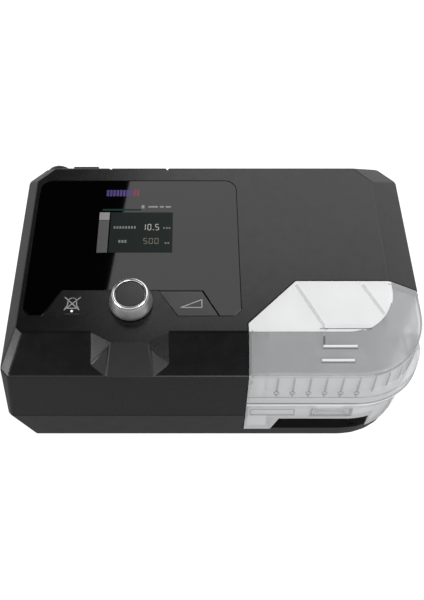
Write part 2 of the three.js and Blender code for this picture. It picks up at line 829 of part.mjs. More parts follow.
function tankTub() {
  const top = TANK_SEAM - 0.15;
  const outside = shared(tankForm(0, true), tankPlan(GAP, TUB_BOTTOM, top));
  const floor = TUB_BOTTOM + TANK_WALL;
  const grip = block([GRIP.left, -5, GRIP.low], [GRIP.right, GRIP.depth, GRIP.high]);
  const gripWall = block(
    [GRIP.left - TANK_WALL, -5, GRIP.low - TANK_WALL],
    [GRIP.right + TANK_WALL, GRIP.depth + TANK_WALL, GRIP.high + TANK_WALL],
  );
  const leverWall = joined(
    block([LEVER_LEFT - 3, -5, 0], [LEVER_RIGHT + 4, LEVER_DEPTH + 2.4, LEVER_TOP + 2.4]),
  );
  const inside = cut(
    shared(tankForm(TANK_WALL, false), tankPlan(GAP + TANK_WALL, floor, top + 5)),
    gripWall,
    leverWall,
  );
  let tub = cut(outside, inside, grip, leverSpace(GAP));

  // the opening in the floor that the metal plate closes, with a rebate for its edge
  const { left, right, front, back } = HEATER;
  const opening = block([left + 5, front + 5, 0], [right - 5, back - 5, floor + 1]);
  const rebate = block([left - 1, front - 1, 0], [right + 1, back + 1, TUB_BOTTOM + 1.1]);
  tub = cut(tub, opening, rebate);

  // trunnion holes for the lever in two ears
  for (const x of [LEVER_LEFT + 3, LEVER_RIGHT - 12]) {
    const ear = block([x, 7.2, 19], [x + 3, LEVER_DEPTH + 1, LEVER_TOP + 1]);
    tub = joined(tub, ear);
  }
  const hole = bar(
    [LEVER_LEFT, PIVOT.y, PIVOT.z],
    [LEVER_RIGHT, PIVOT.y, PIVOT.z],
    PIVOT.radius + 0.1,
    PIVOT.radius + 0.1,
    16,
  );
  tub = cut(tub, hole, knuckle(...LID_KNUCKLE, GAP));
  tub = joined(tub, ...TUB_KNUCKLES.map(([front, back]) => knuckle(front, back, 0)));
  tub = cut(tub, hingeBore(), gasketSeat(0.3));
  return meshOf("tank_tub", tub, MATERIALS.clear);
}

function tankBasePlate() {
  const { left, right, front, back } = HEATER;
  const plate = block([left, front, TUB_BOTTOM - 0.3], [right, back, TUB_BOTTOM + 0.8]);
  return meshOf("tank_base_plate", plate, MATERIALS.steel);
}

function tankLid() {
  const low = TANK_SEAM + 0.15;
  const outside = shared(tankForm(0, true), tankPlan(GAP, low, 200));
  const inside = shared(tankForm(TANK_WALL, false), tankPlan(GAP + TANK_WALL, low - 5, 200));
  let lid = cut(outside, inside, ...tankPorts(PORT_RADIUS));
  lid = cut(lid, ...TUB_KNUCKLES.map(([front, back]) => knuckle(front, back, GAP)));
  lid = cut(joined(lid, knuckle(...LID_KNUCKLE, 0)), hingeBore());
  return meshOf("tank_lid", lid, MATERIALS.clear);
}

// The gasket lies in a groove in the tub's top edge.
function gasketSeat(margin) {
  const low = TANK_SEAM - 1.9 - margin;
  const wide = 0.5;
  const outer = shared(tankForm(wide - margin, false), tankPlan(GAP + wide - margin, low, TANK_SEAM));
  const inner = shared(
    tankForm(TANK_WALL - wide + margin, false),
    tankPlan(GAP + TANK_WALL - wide + margin, low - 1, TANK_SEAM + 1),
  );
  return cut(outer, inner);
}

function tankGasket() {
  const ceiling = block([-200, -50, TANK_SEAM - 0.15], [200, 200, TANK_SEAM + 2]);
  return meshOf("tank_gasket", cut(gasketSeat(0), ceiling), MATERIALS.silicone);
}

// A channel under the lid that turns the incoming air down onto the water.
function tankBaffle() {
  const left = PORT_INLET_X - 16;
  const right = PORT_INLET_X + 14;
  const thick = 1.4;
  const front = 20;
  const back = BAY_BACK_Y - GAP - TANK_WALL - 0.4;
  const low = TANK_SEAM + 3;
  const plate = (x0, x1, y0, y1) => block([x0, y0, low], [x1, y1, 150]);
  const walls = joined(
    plate(left, left + thick, front, back),
    plate(right, right + thick, front, back),
    plate(left, right + thick, front, front + thick),
  );
  const inside = shared(
    tankForm(TANK_WALL + 0.4, false),
    tankPlan(GAP + TANK_WALL + 0.4, low - 1, 200),
  );
  return meshOf("tank_baffle", shared(walls, inside), MATERIALS.clear);
}

function lidHingePin() {
  const start = [HINGE.x, TUB_KNUCKLES[0][0], HINGE.z];
  const end = [HINGE.x, TUB_KNUCKLES[1][1], HINGE.z];
  return meshOf("lid_hinge_pin", bar(start, end, HINGE.pin, HINGE.pin, 16), MATERIALS.steel);
}

function releaseLever() {
  const skin = 2.6;
  const low = TUB_BOTTOM + 0.8;
  const band = (wall) => shared(tankForm(wall, false), prism(bayOutline(0), low, LEVER_TOP));
  const front = block([LEVER_LEFT, -5, low], [LEVER_RIGHT, LEVER_DEPTH - 0.8, LEVER_TOP]);
  const plate = shared(cut(band(0.3), band(0.3 + skin)), front, leverSpace(0));
  const earSpan = [LEVER_LEFT + 12, LEVER_RIGHT - 14];
  const ears = earSpan.map((x) =>
    block([x - 1.5, 3, PIVOT.z - 2.4], [x + 1.5, PIVOT.y + 1.9, PIVOT.z + 2.4]),
  );
  const trunnion = bar(
    [LEVER_LEFT + 3.4, PIVOT.y, PIVOT.z],
    [LEVER_RIGHT - 9.4, PIVOT.y, PIVOT.z],
    PIVOT.radius,
    PIVOT.radius,
    16,
  );
  return meshOf("release_lever", joined(plate, ...ears, trunnion), MATERIALS.lever);
}

// ---- display and controls -------------------------------------------------------------------------

function displayGlass() {
  let glass = slopePrism(panelOutline(0), LEDGE_TOP + 0.3, -0.05);
  const notch = [
    [-121.4, PANEL_FRONT - 4],
    [4.4, PANEL_FRONT - 4],
    [2.4 - GAP, PANEL_FRONT],
    [-9, NOTCH_BACK],
    [-107.6, NOTCH_BACK],
    [-119.4 + GAP, PANEL_FRONT],
  ];
  glass = cut(glass, slopePrism(notch, -10, 10), slopePrism(bossOutline(GAP), -10, 10));
  return meshOf("display_glass", glass, MATERIALS.panel);
}

const SCREEN = { left: -86, right: -31, front: 84, back: 125 };

function lcdModule() {
  const { left, right, front, back } = SCREEN;
  const frame = slopePrism(rectangle(left - 4, right + 4, front - 4, back + 4), -7.4, LEDGE_TOP - 0.1);
  return meshOf("lcd_module", frame, MATERIALS.screen);
}

const CONTROL_BOARD = { left: -122, right: 4, front: 33, back: 140, low: -10.6, high: -9 };

function controlBoard() {
  const { left, right, front, back, low, high } = CONTROL_BOARD;
  let board = slopePrism(rectangle(left, right, front, back), low, high);
  const chips = [
    [-112, 70, 14],
    [-20, 70, 10],
    [-16, 112, 12],
    [-108, 116, 10],
  ];
  for (const [x, y, size] of chips) {
    const chip = slopePrism(rectangle(x, x + size, y, y + size), high - 0.1, high + 1.4);
    board = joined(board, chip);
  }
  return meshOf("control_board", board, MATERIALS.board);
}

function key(name, outline) {
  const cap = slopePrism(outline, -1.8, -0.1);
  const centre = outline.reduce((sum, [x, y]) => [sum[0] + x / 4, sum[1] + y / 4], [0, 0]);
  const [x, y] = slope(...centre, 0);
  const stem = bar([x, y, -6.2], [x, y, -1.5], 3);
  return meshOf(name, joined(cap, stem), MATERIALS.key);
}

function keyDome(name, outline) {
  const centre = outline.reduce((sum, [x, y]) => [sum[0] + x / 4, sum[1] + y / 4], [0, 0]);
  const [x, y] = slope(...centre, 0);
  const low = CONTROL_BOARD.high + 0.3;
  const dome = bar([x, y, low], [x, y, -6.5], 5, 3, 16);
  return meshOf(name, dome, MATERIALS.rubber);
}

const KNOB_CLEARANCE = 1.2;

function knobPieces() {
  const rise = KNOB_CLEARANCE;
  const top = rise + KNOB_HEIGHT;
  const skirt = turned(
    [
      [2.4, rise + 5],
      [KNOB_TOP_RADIUS - 3, rise + 5],
      [KNOB_RADIUS - 2.5, rise],
      [KNOB_RADIUS, rise],
      [KNOB_RADIUS - 0.2, rise + 3],
      [KNOB_TOP_RADIUS + 0.2, top - 2.3],
      [2.4, top - 2.3],
      [2.4, rise + 5],
    ],
    0,
    0,
    28,
  );
  const ring = turned(
    [
      [10.2, top - 2],
      [KNOB_TOP_RADIUS + 0.1, top - 2],
      [KNOB_TOP_RADIUS - 0.2, top - 0.5],
      [KNOB_TOP_RADIUS - 1, top],
      [10.6, top - 0.3],
      [10.2, top - 2],
    ],
    0,
    0,
    28,
  );
  const cap = turned(
    [
      [0, top - 2],
      [9.9, top - 2],
      [9.9, top - 0.9],
      [0, top - 0.7],
    ],
    0,
    0,
    28,
  );
  return [
    meshOf("knob_skirt", skirt, MATERIALS.silver),
    meshOf("knob_ring", ring, MATERIALS.polished),
    meshOf("knob_cap", cap, MATERIALS.cap),
  ];
}

function encoderShaft() {
  const top = KNOB_CLEARANCE + KNOB_HEIGHT - 2.6;
  return meshOf("encoder_shaft", bar([0, 0, -6.8], [0, 0, top], 2.1, 2.1, 20), MATERIALS.steel);
}

function encoderBody() {
  const low = CONTROL_BOARD.high + 0.3;
  const can = block([-6, -6, low], [6, 6, -5.8]);
  const neck = bar([0, 0, -6], [0, 0, -3.2], 3.6, 3.6, 20);
  const bore = bar([0, 0, -7.7], [0, 0, 0], 2.25, 2.25, 20);
  return meshOf("encoder_body", cut(joined(can, neck), bore), MATERIALS.steel);
}

// ---- electronics in the base ----------------------------------------------------------------------

function mainBoard() {
  const { left, right, front, back } = BOARD;
  const top = BOARD_HEIGHT + 1.6;
  let board = block([left, front, BOARD_HEIGHT], [right, back, top]);
  const parts = [
    [left + 12, front + 14, 16, 16, 2],
    [left + 34, front + 12, 10, 24, 9],
    [left + 50, front + 30, 9, 9, 14],
    [left + 10, front + 44, 30, 8, 6],
  ];
  for (const [x, y, wide, deep, tall] of parts) {
    board = joined(board, block([x, y, top - 0.1], [x + wide, y + deep, top + tall]));
  }
  return meshOf("main_board", board, MATERIALS.board);
}

function ribbonCable() {
  const low = BOARD_HEIGHT + 2.6;
  const points = [
    [BOARD.left + 6, 78, low],
    [BOARD.left + 3, 79, low + 16],
    [BOARD.left + 3, 82, 60],
    [BOARD.left + 8, 85, 97],
  ];
  const curve = new THREE.CatmullRomCurve3(points.map((point) => new THREE.Vector3(...point)));
  const shape = new THREE.Shape(rectangle(-8, 8, -0.4, 0.4).map(([x, y]) => new THREE.Vector2(x, y)));
  const options = { steps: 10, extrudePath: curve, bevelEnabled: false };
  const strip = solidOf(new THREE.ExtrudeGeometry(shape, options));
  return meshOf("ribbon_cable", strip, MATERIALS.silicone);
}

function speaker() {
  const [x, y] = [-26, 40];
  const low = BASE_FLOOR + 0.3;
  const profile = [
    [0, low],
    [12, low],
    [15, low + 6],
    [15, low + 8],
    [12.5, low + 8],
    [5, low + 5],
    [0, low + 6],
  ];
  return meshOf("speaker", turned(profile, x, y, 24), MATERIALS.rubber);
}

// ---- blower -----------------------------------------------------------------------------------------

const BLOWER_LOW = 15;
const VOLUTE_RADIUS = 36;
const MOTOR_RADIUS = 20;
const FAN_FLOOR = 36;
const FAN_TOP = 52;
const FAN_RADIUS = 29;
const SHAFT_RADIUS = 2;
const MOUNT_ANGLES = [0.25, 0.25 + 2 / 3, 0.25 + 4 / 3].map((turn) => turn * Math.PI);

function blowerSpot(radius, angle) {
  return [BLOWER_X + radius * Math.cos(angle), BLOWER_Y + radius * Math.sin(angle)];
}

function blowerVolute() {
  const can = turned(
    [
      [4.4, BLOWER_LOW],
      [MOTOR_RADIUS, BLOWER_LOW],
      [MOTOR_RADIUS, FAN_FLOOR - 3],
      [VOLUTE_RADIUS, FAN_FLOOR - 3],
      [VOLUTE_RADIUS, FAN_TOP],
      [VOLUTE_RADIUS - 2, FAN_TOP],
      [VOLUTE_RADIUS - 2, FAN_FLOOR - 1],
      [MOTOR_RADIUS - 2, FAN_FLOOR - 1],
      [MOTOR_RADIUS - 2, BLOWER_LOW + 2],
      [4.4, BLOWER_LOW + 2],
      [4.4, BLOWER_LOW],
    ],
    BLOWER_X,
    BLOWER_Y,
    24,
  );
  const spoutY = BLOWER_Y + 23;
  const spoutZ = (FAN_FLOOR - 2 + FAN_TOP) / 2;
  const start = [BLOWER_X + 10, spoutY, spoutZ];
  const end = [BLOWER_X + 46, spoutY, spoutZ];
  const spout = bar(start, end, 8.6, 8.6, 20);
  const inside = turned(
    [
      [0, FAN_FLOOR - 1],
      [VOLUTE_RADIUS - 2, FAN_FLOOR - 1],
      [VOLUTE_RADIUS - 2, FAN_TOP + 1],
      [0, FAN_TOP + 1],
    ],
    BLOWER_X,
    BLOWER_Y,
    24,
  );
  const lugs = MOUNT_ANGLES.map((angle) => {
    const [x, y] = blowerSpot(VOLUTE_RADIUS - 5, angle);
    return bar([x, y, FAN_FLOOR - 8], [x, y, FAN_FLOOR - 2.5], 4, 4, 12);
  });
  const far = [BLOWER_X + 60, spoutY, spoutZ];
  const volute = cut(joined(can, spout, ...lugs), inside, bar(start, far, 6.8, 6.8, 20));
  return meshOf("blower_volute", volute, MATERIALS.white);
}

const EYE_RADIUS = 12;

function voluteCover() {
  const low = FAN_TOP + 0.3;
  const profile = [
    [EYE_RADIUS, low],
    [VOLUTE_RADIUS, low],
    [VOLUTE_RADIUS, low + 2.2],
    [EYE_RADIUS + 2, low + 2.2],
    [EYE_RADIUS + 2, low + 8],
    [EYE_RADIUS, low + 8],
    [EYE_RADIUS, low],
  ];
  return meshOf("volute_cover", turned(profile, BLOWER_X, BLOWER_Y, 24), MATERIALS.white);
}

function impeller() {
  const low = FAN_FLOOR + 0.4;
  let fan = turned(
    [
      [SHAFT_RADIUS + 0.3, low - 0.2],
      [FAN_RADIUS, low - 0.2],
      [FAN_RADIUS, low + 1.2],
      [7, low + 3],
      [5, low + 10],
      [SHAFT_RADIUS + 0.3, low + 10],
      [SHAFT_RADIUS + 0.3, low - 0.2],
    ],
    BLOWER_X,
    BLOWER_Y,
    24,
  );
  const blades = 9;
  for (let blade = 0; blade < blades; blade += 1) {
    const place = new THREE.Matrix4().makeTranslation(BLOWER_X, BLOWER_Y, low + 6);
    place.multiply(new THREE.Matrix4().makeRotationZ((2 * Math.PI * blade) / blades));
    place.multiply(new THREE.Matrix4().makeTranslation(FAN_RADIUS - 11.5, 3, 0));
    place.multiply(new THREE.Matrix4().makeRotationZ(-0.45));
    fan = joined(fan, solidOf(new THREE.BoxGeometry(20, 1.2, 11), place));
  }
  return meshOf("impeller", fan, MATERIALS.white);
}

function motorShaft() {
  const low = BLOWER_LOW + 0.5;
  const start = [BLOWER_X, BLOWER_Y, low];
  const end = [BLOWER_X, BLOWER_Y, FAN_FLOOR + 12];
  return meshOf("motor_shaft", bar(start, end, SHAFT_RADIUS, SHAFT_RADIUS, 20), MATERIALS.steel);
}

function motorPieces() {
  const ringPiece = (name, inner, outer, low, high, surface) =>
    meshOf(name, washer(BLOWER_X, BLOWER_Y, inner, outer, low, high), surface);
  const bearing = SHAFT_RADIUS + 0.08;
  return [
    ringPiece("motor_bearing", bearing, 4.1, BLOWER_LOW + 0.2, BLOWER_LOW + 3, MATERIALS.steel),
    ringPiece("rotor_magnet", SHAFT_RADIUS + 0.3, 8, 21, 31, MATERIALS.steel),
    ringPiece("motor_stator", 9, MOTOR_RADIUS - 2.4, 20, 32, MATERIALS.copper),
  ];
}

function blowerMounts() {
  return MOUNT_ANGLES.map((angle, number) => {
    const [x, y] = blowerSpot(VOLUTE_RADIUS - 5, angle);
    const low = BASE_FLOOR + 0.3;
    const high = FAN_FLOOR - 8.3;
    const middle = (low + high) / 2;
    const profile = [
      [0, low],
      [5, low],
      [5, middle - 2],
      [3.5, middle],
      [5, middle + 2],
      [5, high],
      [0, high],
    ];
    return meshOf(`blower_mount_${number + 1}`, turned(profile, x, y, 14), MATERIALS.rubber);
  });
}

// ---- air path ---------------------------------------------------------------------------------------

const MUFFLER = { left: -119, right: -60, front: 100, back: 156, low: 40, high: 92 };

function inletMuffler() {
  const { left, right, front, back, low, high } = MUFFLER;
  const outside = block([left, front, low], [right, back, high]);
  const inside = block([left + 2, front + 2, low + 2], [right - 2, back + 5, high - 2]);
  const exit = bar([right - 5, BLOWER_Y, 78], [right + 5, BLOWER_Y, 78], 9.4, 9.4, 20);
  return meshOf("inlet_muffler", cut(outside, inside, exit), MATERIALS.housing);
}

function mufflerFoam() {
  const { left, right, front, back, low, high } = MUFFLER;
  const foam = block([left + 2.4, front + 2.4, low + 2.4], [right - 16, front + 34, high - 2.4]);
  return meshOf("muffler_foam", foam, MATERIALS.foam);
}

function inletDuct() {
  const points = [
    [MUFFLER.right + 0.4, BLOWER_Y, 78],
    [-50, BLOWER_Y, 78],
    [-34, BLOWER_Y, 77],
    [-22, BLOWER_Y, 73],
    [BLOWER_X, BLOWER_Y, 62],
  ];
  return meshOf("inlet_duct", hose(points, 11, 9.4, 8, 10), MATERIALS.silicone);
}

function outletDuct() {
  const spoutY = BLOWER_Y + 23;
  const z = (FAN_FLOOR - 2 + FAN_TOP) / 2;
  const points = [
    [BLOWER_X + 47, spoutY, z],
    [BLOWER_X + 60, spoutY, z + 1],
    [58, spoutY - 8, 56],
    [70, 116, 70],
    [PORT_INLET_X, 92, PORT_HEIGHT],
    [PORT_INLET_X, 70, PORT_HEIGHT],
  ];
  return meshOf("outlet_duct", hose(points, 9.6, 8, 12, 10), MATERIALS.silicone);
}

function returnDuct() {
  const start = [PORT_OUTLET_X, 70, PORT_HEIGHT];
  const end = [PORT_OUTLET_X, 157, PORT_HEIGHT];
  return meshOf("return_duct", sleeve(start, end, 9.6, 8), MATERIALS.silicone);
}

function alongDepth(profile, x, z, sides = 20) {
  const points = profile.map(([radius, y]) => new THREE.Vector2(radius, y));
  const place = new THREE.Matrix4().makeTranslation(x, 0, z);
  return solidOf(new THREE.LatheGeometry(points, sides), place);
}

function ductSeals() {
  return [
    ["duct_seal_inlet", PORT_INLET_X],
    ["duct_seal_outlet", PORT_OUTLET_X],
  ].map(([name, x]) => {
    const front = BAY_BACK_Y + 0.1;
    const profile = [
      [8.6, front],
      [10.2, front],
      [12, front + 2],
      [12, front + 6.1],
      [8.6, front + 6.1],
      [8.6, front],
    ];
    return meshOf(name, alongDepth(profile, x, PORT_HEIGHT), MATERIALS.silicone);
  });
}

function outletPort() {
  const back = BODY_DEPTH - 0.5;
  const floor = 157.4;
  const profile = [
    [9.2, floor],
    [17, floor],
    [17, back - 1],
    [15.4, back - 1],
    [15.4, floor + 2],
    [11.2, floor + 2],
    [10.8, back],
    [9.2, back],
    [9.2, floor],
  ];
  const port = alongDepth(profile, PORT_OUTLET_X, PORT_HEIGHT, 24);
  return meshOf("outlet_port", port, MATERIALS.housing);
}

function filterFoam() {
  const front = COVER_FRONT_Y - 13.6;
  const low = [FILTER_LEFT + 3.4, front, FILTER_LOW + 5.4];
  const high = [FILTER_RIGHT - 3.4, COVER_FRONT_Y - 0.4, FILTER_HIGH - 5.4];
  return meshOf("filter_foam", block(low, high), MATERIALS.foam);
}

function filterCover() {
  let cover = shared(filterCoverForm(0), upperForm());
  const { x, z, radius } = COVER_BUMP;
  const [front, back] = [177, BODY_DEPTH - 0.1];
  const bump = bar([x, front, z], [x, back, z], radius, radius, 24);
  const tab = block([COVER_TAB.left, front, FILTER_HIGH - 4], [COVER_TAB.right, back, COVER_TAB.high]);
  cover = joined(cover, bump, tab);
  for (let row = 0; row < 6; row += 1) {
    const low = FILTER_LOW + 10 + row * 7;
    cover = cut(cover, block([FILTER_LEFT + 8, 170, low], [FILTER_RIGHT - 8, 190, low + 3]));
  }
  return meshOf("filter_cover", cover, MATERIALS.base);
}

function cardFlap() {
  const { x, y, radius } = FLAP_HINGE;
  const plate = block([x, y - radius, FLAP_LOW], [FLAP_RIGHT, y + radius, FLAP_HIGH]);
  const barrel = bar([x, y, FLAP_LOW], [x, y, FLAP_HIGH], radius);
  return meshOf("card_flap", joined(plate, barrel), MATERIALS.rubber);
}

function cardSlot() {
  const low = [FLAP_LEFT + 5, 168.3, FLAP_LOW + 8];
  const high = [FLAP_RIGHT - 5, 174, FLAP_LOW + 16];
  const slotLow = [FLAP_LEFT + 7, 169.5, FLAP_LOW + 10.5];
  const slotHigh = [FLAP_RIGHT - 7, 180, FLAP_LOW + 13.5];
  return meshOf("card_slot", cut(block(low, high), block(slotLow, slotHigh)), MATERIALS.steel);
}

// ---- assembly -----------------------------------------------------------------------------------------

const onSlope = new THREE.Group();
onSlope.position.set(0, 0, TOP_HEIGHT);
onSlope.rotation.x = TILT;
onSlope.add(displayGlass(), lcdModule(), controlBoard());
onSlope.add(key("mute_key", MUTE_OUTLINE), key("ramp_key", RAMP_OUTLINE));
onSlope.add(keyDome("mute_dome", MUTE_OUTLINE), keyDome("ramp_dome", RAMP_OUTLINE));

const knob = new THREE.Group();
knob.position.set(...slope(KNOB_X, KNOB_Y, 0));
knob.add(...knobPieces(), encoderShaft(), encoderBody());
onSlope.add(knob);

// The origin is under the middle of the whole machine, hinge included.
const MIDDLE_X = (SEAM_LEFT + HINGE.x + HINGE.radius) / 2;
const group = new THREE.Group();
group.position.set(-MIDDLE_X, -BODY_DEPTH / 2, 0);
group.add(upperHousing(), baseHousing(), ...feet(), ...screws(), dcInlet(), onSlope);
group.add(heaterPlate(), ...heaterSprings());
group.add(tankTub(), tankBasePlate(), tankGasket(), tankLid(), tankBaffle());
group.add(lidHingePin(), releaseLever());
group.add(mainBoard(), ribbonCable(), speaker());
group.add(blowerVolute(), voluteCover(), impeller(), motorShaft(), ...motorPieces());
group.add(...blowerMounts());
group.add(inletMuffler(), mufflerFoam(), inletDuct(), outletDuct(), returnDuct());
group.add(...ductSeals(), outletPort(), filterFoam(), filterCover(), cardFlap(), cardSlot());

export default group;
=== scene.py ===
"""The looks of a bench-top mechanical ventilator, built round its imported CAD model.

Shapes are drawn in millimetres in the machine's own frame: x = 0 is the middle of the body,
y = 0 its front face and z = 0 the table. They are turned into metres in the row's frame last.
"""

import json
import math

import bmesh
import bpy
from mathutils import Matrix, Vector


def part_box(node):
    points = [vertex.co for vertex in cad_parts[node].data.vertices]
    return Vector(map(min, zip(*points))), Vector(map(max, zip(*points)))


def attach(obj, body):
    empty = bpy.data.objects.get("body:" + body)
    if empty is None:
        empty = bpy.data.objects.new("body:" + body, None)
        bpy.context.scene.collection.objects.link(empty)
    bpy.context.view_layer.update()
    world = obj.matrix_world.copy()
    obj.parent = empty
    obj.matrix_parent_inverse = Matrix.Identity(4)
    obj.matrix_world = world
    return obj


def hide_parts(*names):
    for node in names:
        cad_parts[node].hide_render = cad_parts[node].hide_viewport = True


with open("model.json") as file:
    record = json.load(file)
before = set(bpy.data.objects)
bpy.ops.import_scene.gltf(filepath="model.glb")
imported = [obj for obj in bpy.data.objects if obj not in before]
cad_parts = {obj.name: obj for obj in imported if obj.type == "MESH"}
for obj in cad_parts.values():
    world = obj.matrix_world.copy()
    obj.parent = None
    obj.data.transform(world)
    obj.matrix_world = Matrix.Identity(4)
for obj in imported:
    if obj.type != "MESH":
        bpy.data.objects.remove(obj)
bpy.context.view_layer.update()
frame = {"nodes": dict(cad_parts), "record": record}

# ---- driving dimensions (mm) ----

MM = 0.001
BODY_LEFT = -147.0
BODY_RIGHT = 147.0
SEAM_LEFT = -149.5
BASE_LEFT = -137.5
BASE_RIGHT = 143.0
BASE_FRONT = 6.2
BASE_BACK = 174.0
BODY_DEPTH = 180.0
FOOT_DROP = 1.5
SEAM_HEIGHT = 35.0
SEAM_GAP = 0.4
SHOULDER_HEIGHT = 80.0
TOP_HEIGHT = 94.9
TOP_SLOPE = 0.2254
TOP_FRONT_Y = 22.7
TOP_BACK_Y = 165.6
TOP_LEFT_X = -136.6
TOP_RIGHT_X = 122.8
TANK_CORNER = 50.0
TOP_CORNER = 34.0
SIDE_CHAMFER = 13.0
CORNER_STEPS = 24
SEAM_CUT = 3.0  # how much the left front corner is cut off, at each level
SHOULDER_CUT = 6.0
TOP_CUT = 5.0
GAP = 0.4
CLEAR_OF = 0.03  # keeps the form's flat faces clear of the CAD's own

TILT = math.atan(TOP_SLOPE)
ALONG = 1 / math.cos(TILT)

TANK_WALL = 2.2
TANK_SEAM = 49.8
LIP_REACH = 6.4
LIP_HEIGHT = 9.0
LIP_ROUND = 54.0
TUB_BOTTOM = 14.0

PANEL_LEFT = -132.9
PANEL_RIGHT = 17.3
PANEL_FRONT = 35.0
PANEL_BACK = 153.0
PANEL_CORNER = 9.0
PANEL_CUT = 5.0
NOTCH_BACK = 54.9
TONGUE_HALF = 18.5  # half the width of the strip that runs forward under the knob
KNOB_X = -58.7
KNOB_Y = 44.9
KNOB_RADIUS = 15.0
KNOB_TOP_RADIUS = 12.5
KNOB_HEIGHT = 12.2
KNOB_CLEARANCE = 1.2

# ---- where the machine's own frame lies in the row's frame ----

housing_low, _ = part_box("upper_housing")
ORIGIN = Vector((housing_low.x - SEAM_LEFT * MM, housing_low.y, 0.0))
TO_ROW = Matrix.Translation(ORIGIN) @ Matrix.Scale(MM, 4)
TO_BODY = TO_ROW.inverted()
SLOPE_PLACE = Matrix.Translation((0, 0, TOP_HEIGHT)) @ Matrix.Rotation(TILT, 4, "X")


def on_slope(x, y, height=0.0):
    """A point on the sloping top, height measured square to it."""
    return SLOPE_PLACE @ Vector((x, y * ALONG, height))


# ---- materials ----


def shader_nodes(name):
    """A new material with its node tree, its main shader and object coordinates."""
    material = bpy.data.materials.new(name)
    material.use_nodes = True
    nodes = material.node_tree.nodes
    shader = nodes["Principled BSDF"]
    place = nodes.new("ShaderNodeTexCoord")
    return material, material.node_tree, shader, place.outputs["Object"]


def noise(tree, place, size, detail=3.0, stretch=(1, 1, 1)):
    """Noise whose features are about `size` millimetres across."""
    mapping = tree.nodes.new("ShaderNodeMapping")
    mapping.inputs["Scale"].default_value = [value / (size * MM) for value in stretch]
    tree.links.new(place, mapping.inputs["Vector"])
    texture = tree.nodes.new("ShaderNodeTexNoise")
    texture.inputs["Scale"].default_value = 1.0
    texture.inputs["Detail"].default_value = detail
    tree.links.new(mapping.outputs["Vector"], texture.inputs["Vector"])
    return texture.outputs["Fac"]


def spread(tree, source, low, high, start=0.3, end=0.7):
    """Runs from low to high while the source, noise as a rule, runs from start to end."""
    ramp = tree.nodes.new("ShaderNodeMapRange")
    ramp.inputs["From Min"].default_value = start
    ramp.inputs["From Max"].default_value = end
    ramp.inputs["To Min"].default_value = low
    ramp.inputs["To Max"].default_value = high
    tree.links.new(source, ramp.inputs["Value"])
    return ramp.outputs["Result"]


def blend_colours(tree, factor, first, second):
    """The first colour where the factor is 0, running to the second where it is 1."""
    mix = tree.nodes.new("ShaderNodeMix")
    mix.data_type = "RGBA"
    mix.inputs["A"].default_value = (*first, 1)
    mix.inputs["B"].default_value = (*second, 1)
    tree.links.new(factor, mix.inputs["Factor"])
    return mix.outputs["Result"]


def relief(tree, shader, source, depth):
    """Bump of the given depth in millimetres."""
    bump = tree.nodes.new("ShaderNodeBump")
    bump.inputs["Strength"].default_value = 1.0
    bump.inputs["Distance"].default_value = depth * MM
    tree.links.new(source, bump.inputs["Height"])
    tree.links.new(bump.outputs["Normal"], shader.inputs["Normal"])


def moulded(name, colour, roughness, vary=0.12, grain=0.5, depth=0.008, metal=0.0, **sockets):
    """Moulded or cast stuff: fine grain, and soft patches of colour and of gloss."""
    material, tree, shader, place = shader_nodes(name)
    patches = noise(tree, place, 38.0, 4.0)
    darker = [value * (1 - vary) for value in colour]
    lighter = [min(1.0, value * (1 + vary)) for value in colour]
    tone = blend_colours(tree, spread(tree, patches, 0.0, 1.0), darker, lighter)
    tree.links.new(tone, shader.inputs["Base Color"])
    gloss = noise(tree, place, 9.0, 5.0)
    steady = spread(tree, gloss, roughness * 0.9, min(1.0, roughness * 1.1))
    tree.links.new(steady, shader.inputs["Roughness"])
    relief(tree, shader, noise(tree, place, grain, 2.0), depth)
    shader.inputs["Metallic"].default_value = metal
    for socket, value in sockets.items():
        shader.inputs[socket.replace("_", " ")].default_value = value
    return material


def brushed(name, colour, roughness, stretch=(1, 1, 14)):
    """Metal with fine drawn lines."""
    material, tree, shader, place = shader_nodes(name)
    lines = noise(tree, place, 2.4, 3.0, stretch)
    tone = blend_colours(tree, spread(tree, lines, 0.0, 1.0), [0.86 * c for c in colour], colour)
    tree.links.new(tone, shader.inputs["Base Color"])
    steady = spread(tree, lines, roughness * 0.8, roughness * 1.2)
    tree.links.new(steady, shader.inputs["Roughness"])
    relief(tree, shader, lines, 0.01)
    shader.inputs["Metallic"].default_value = 1.0
    return material


def clear_plastic(name, colour, alpha, roughness=0.1, cloud=0.05):
    """See-through polycarbonate: light passes, gloss stays."""
    material, tree, shader, place = shader_nodes(name)
    haze = spread(tree, noise(tree, place, 22.0, 3.0), 0.0, 1.0)
    tone = blend_colours(tree, haze, [value * (1 - cloud) for value in colour], colour)
    tree.links.new(tone, shader.inputs["Base Color"])
    steady = spread(tree, noise(tree, place, 6.0, 4.0), roughness * 0.7, roughness * 1.3)
    tree.links.new(steady, shader.inputs["Roughness"])
    relief(tree, shader, noise(tree, place, 12.0, 2.0), 0.03)
    shader.inputs["Alpha"].default_value = alpha
    shader.inputs["IOR"].default_value = 1.55
    return material


def glowing(name, colour, strength, roughness=0.25):
    """A lit mark on the display."""
    material, tree, shader, place = shader_nodes(name)
    dots = noise(tree, place, 0.5, 1.0)
    tone = blend_colours(tree, spread(tree, dots, 0.0, 1.0), [0.8 * c for c in colour], colour)
    tree.links.new(tone, shader.inputs["Base Color"])
    tree.links.new(tone, shader.inputs["Emission Color"])
    shader.inputs["Emission Strength"].default_value = strength
    shader.inputs["Roughness"].default_value = roughness
    return material


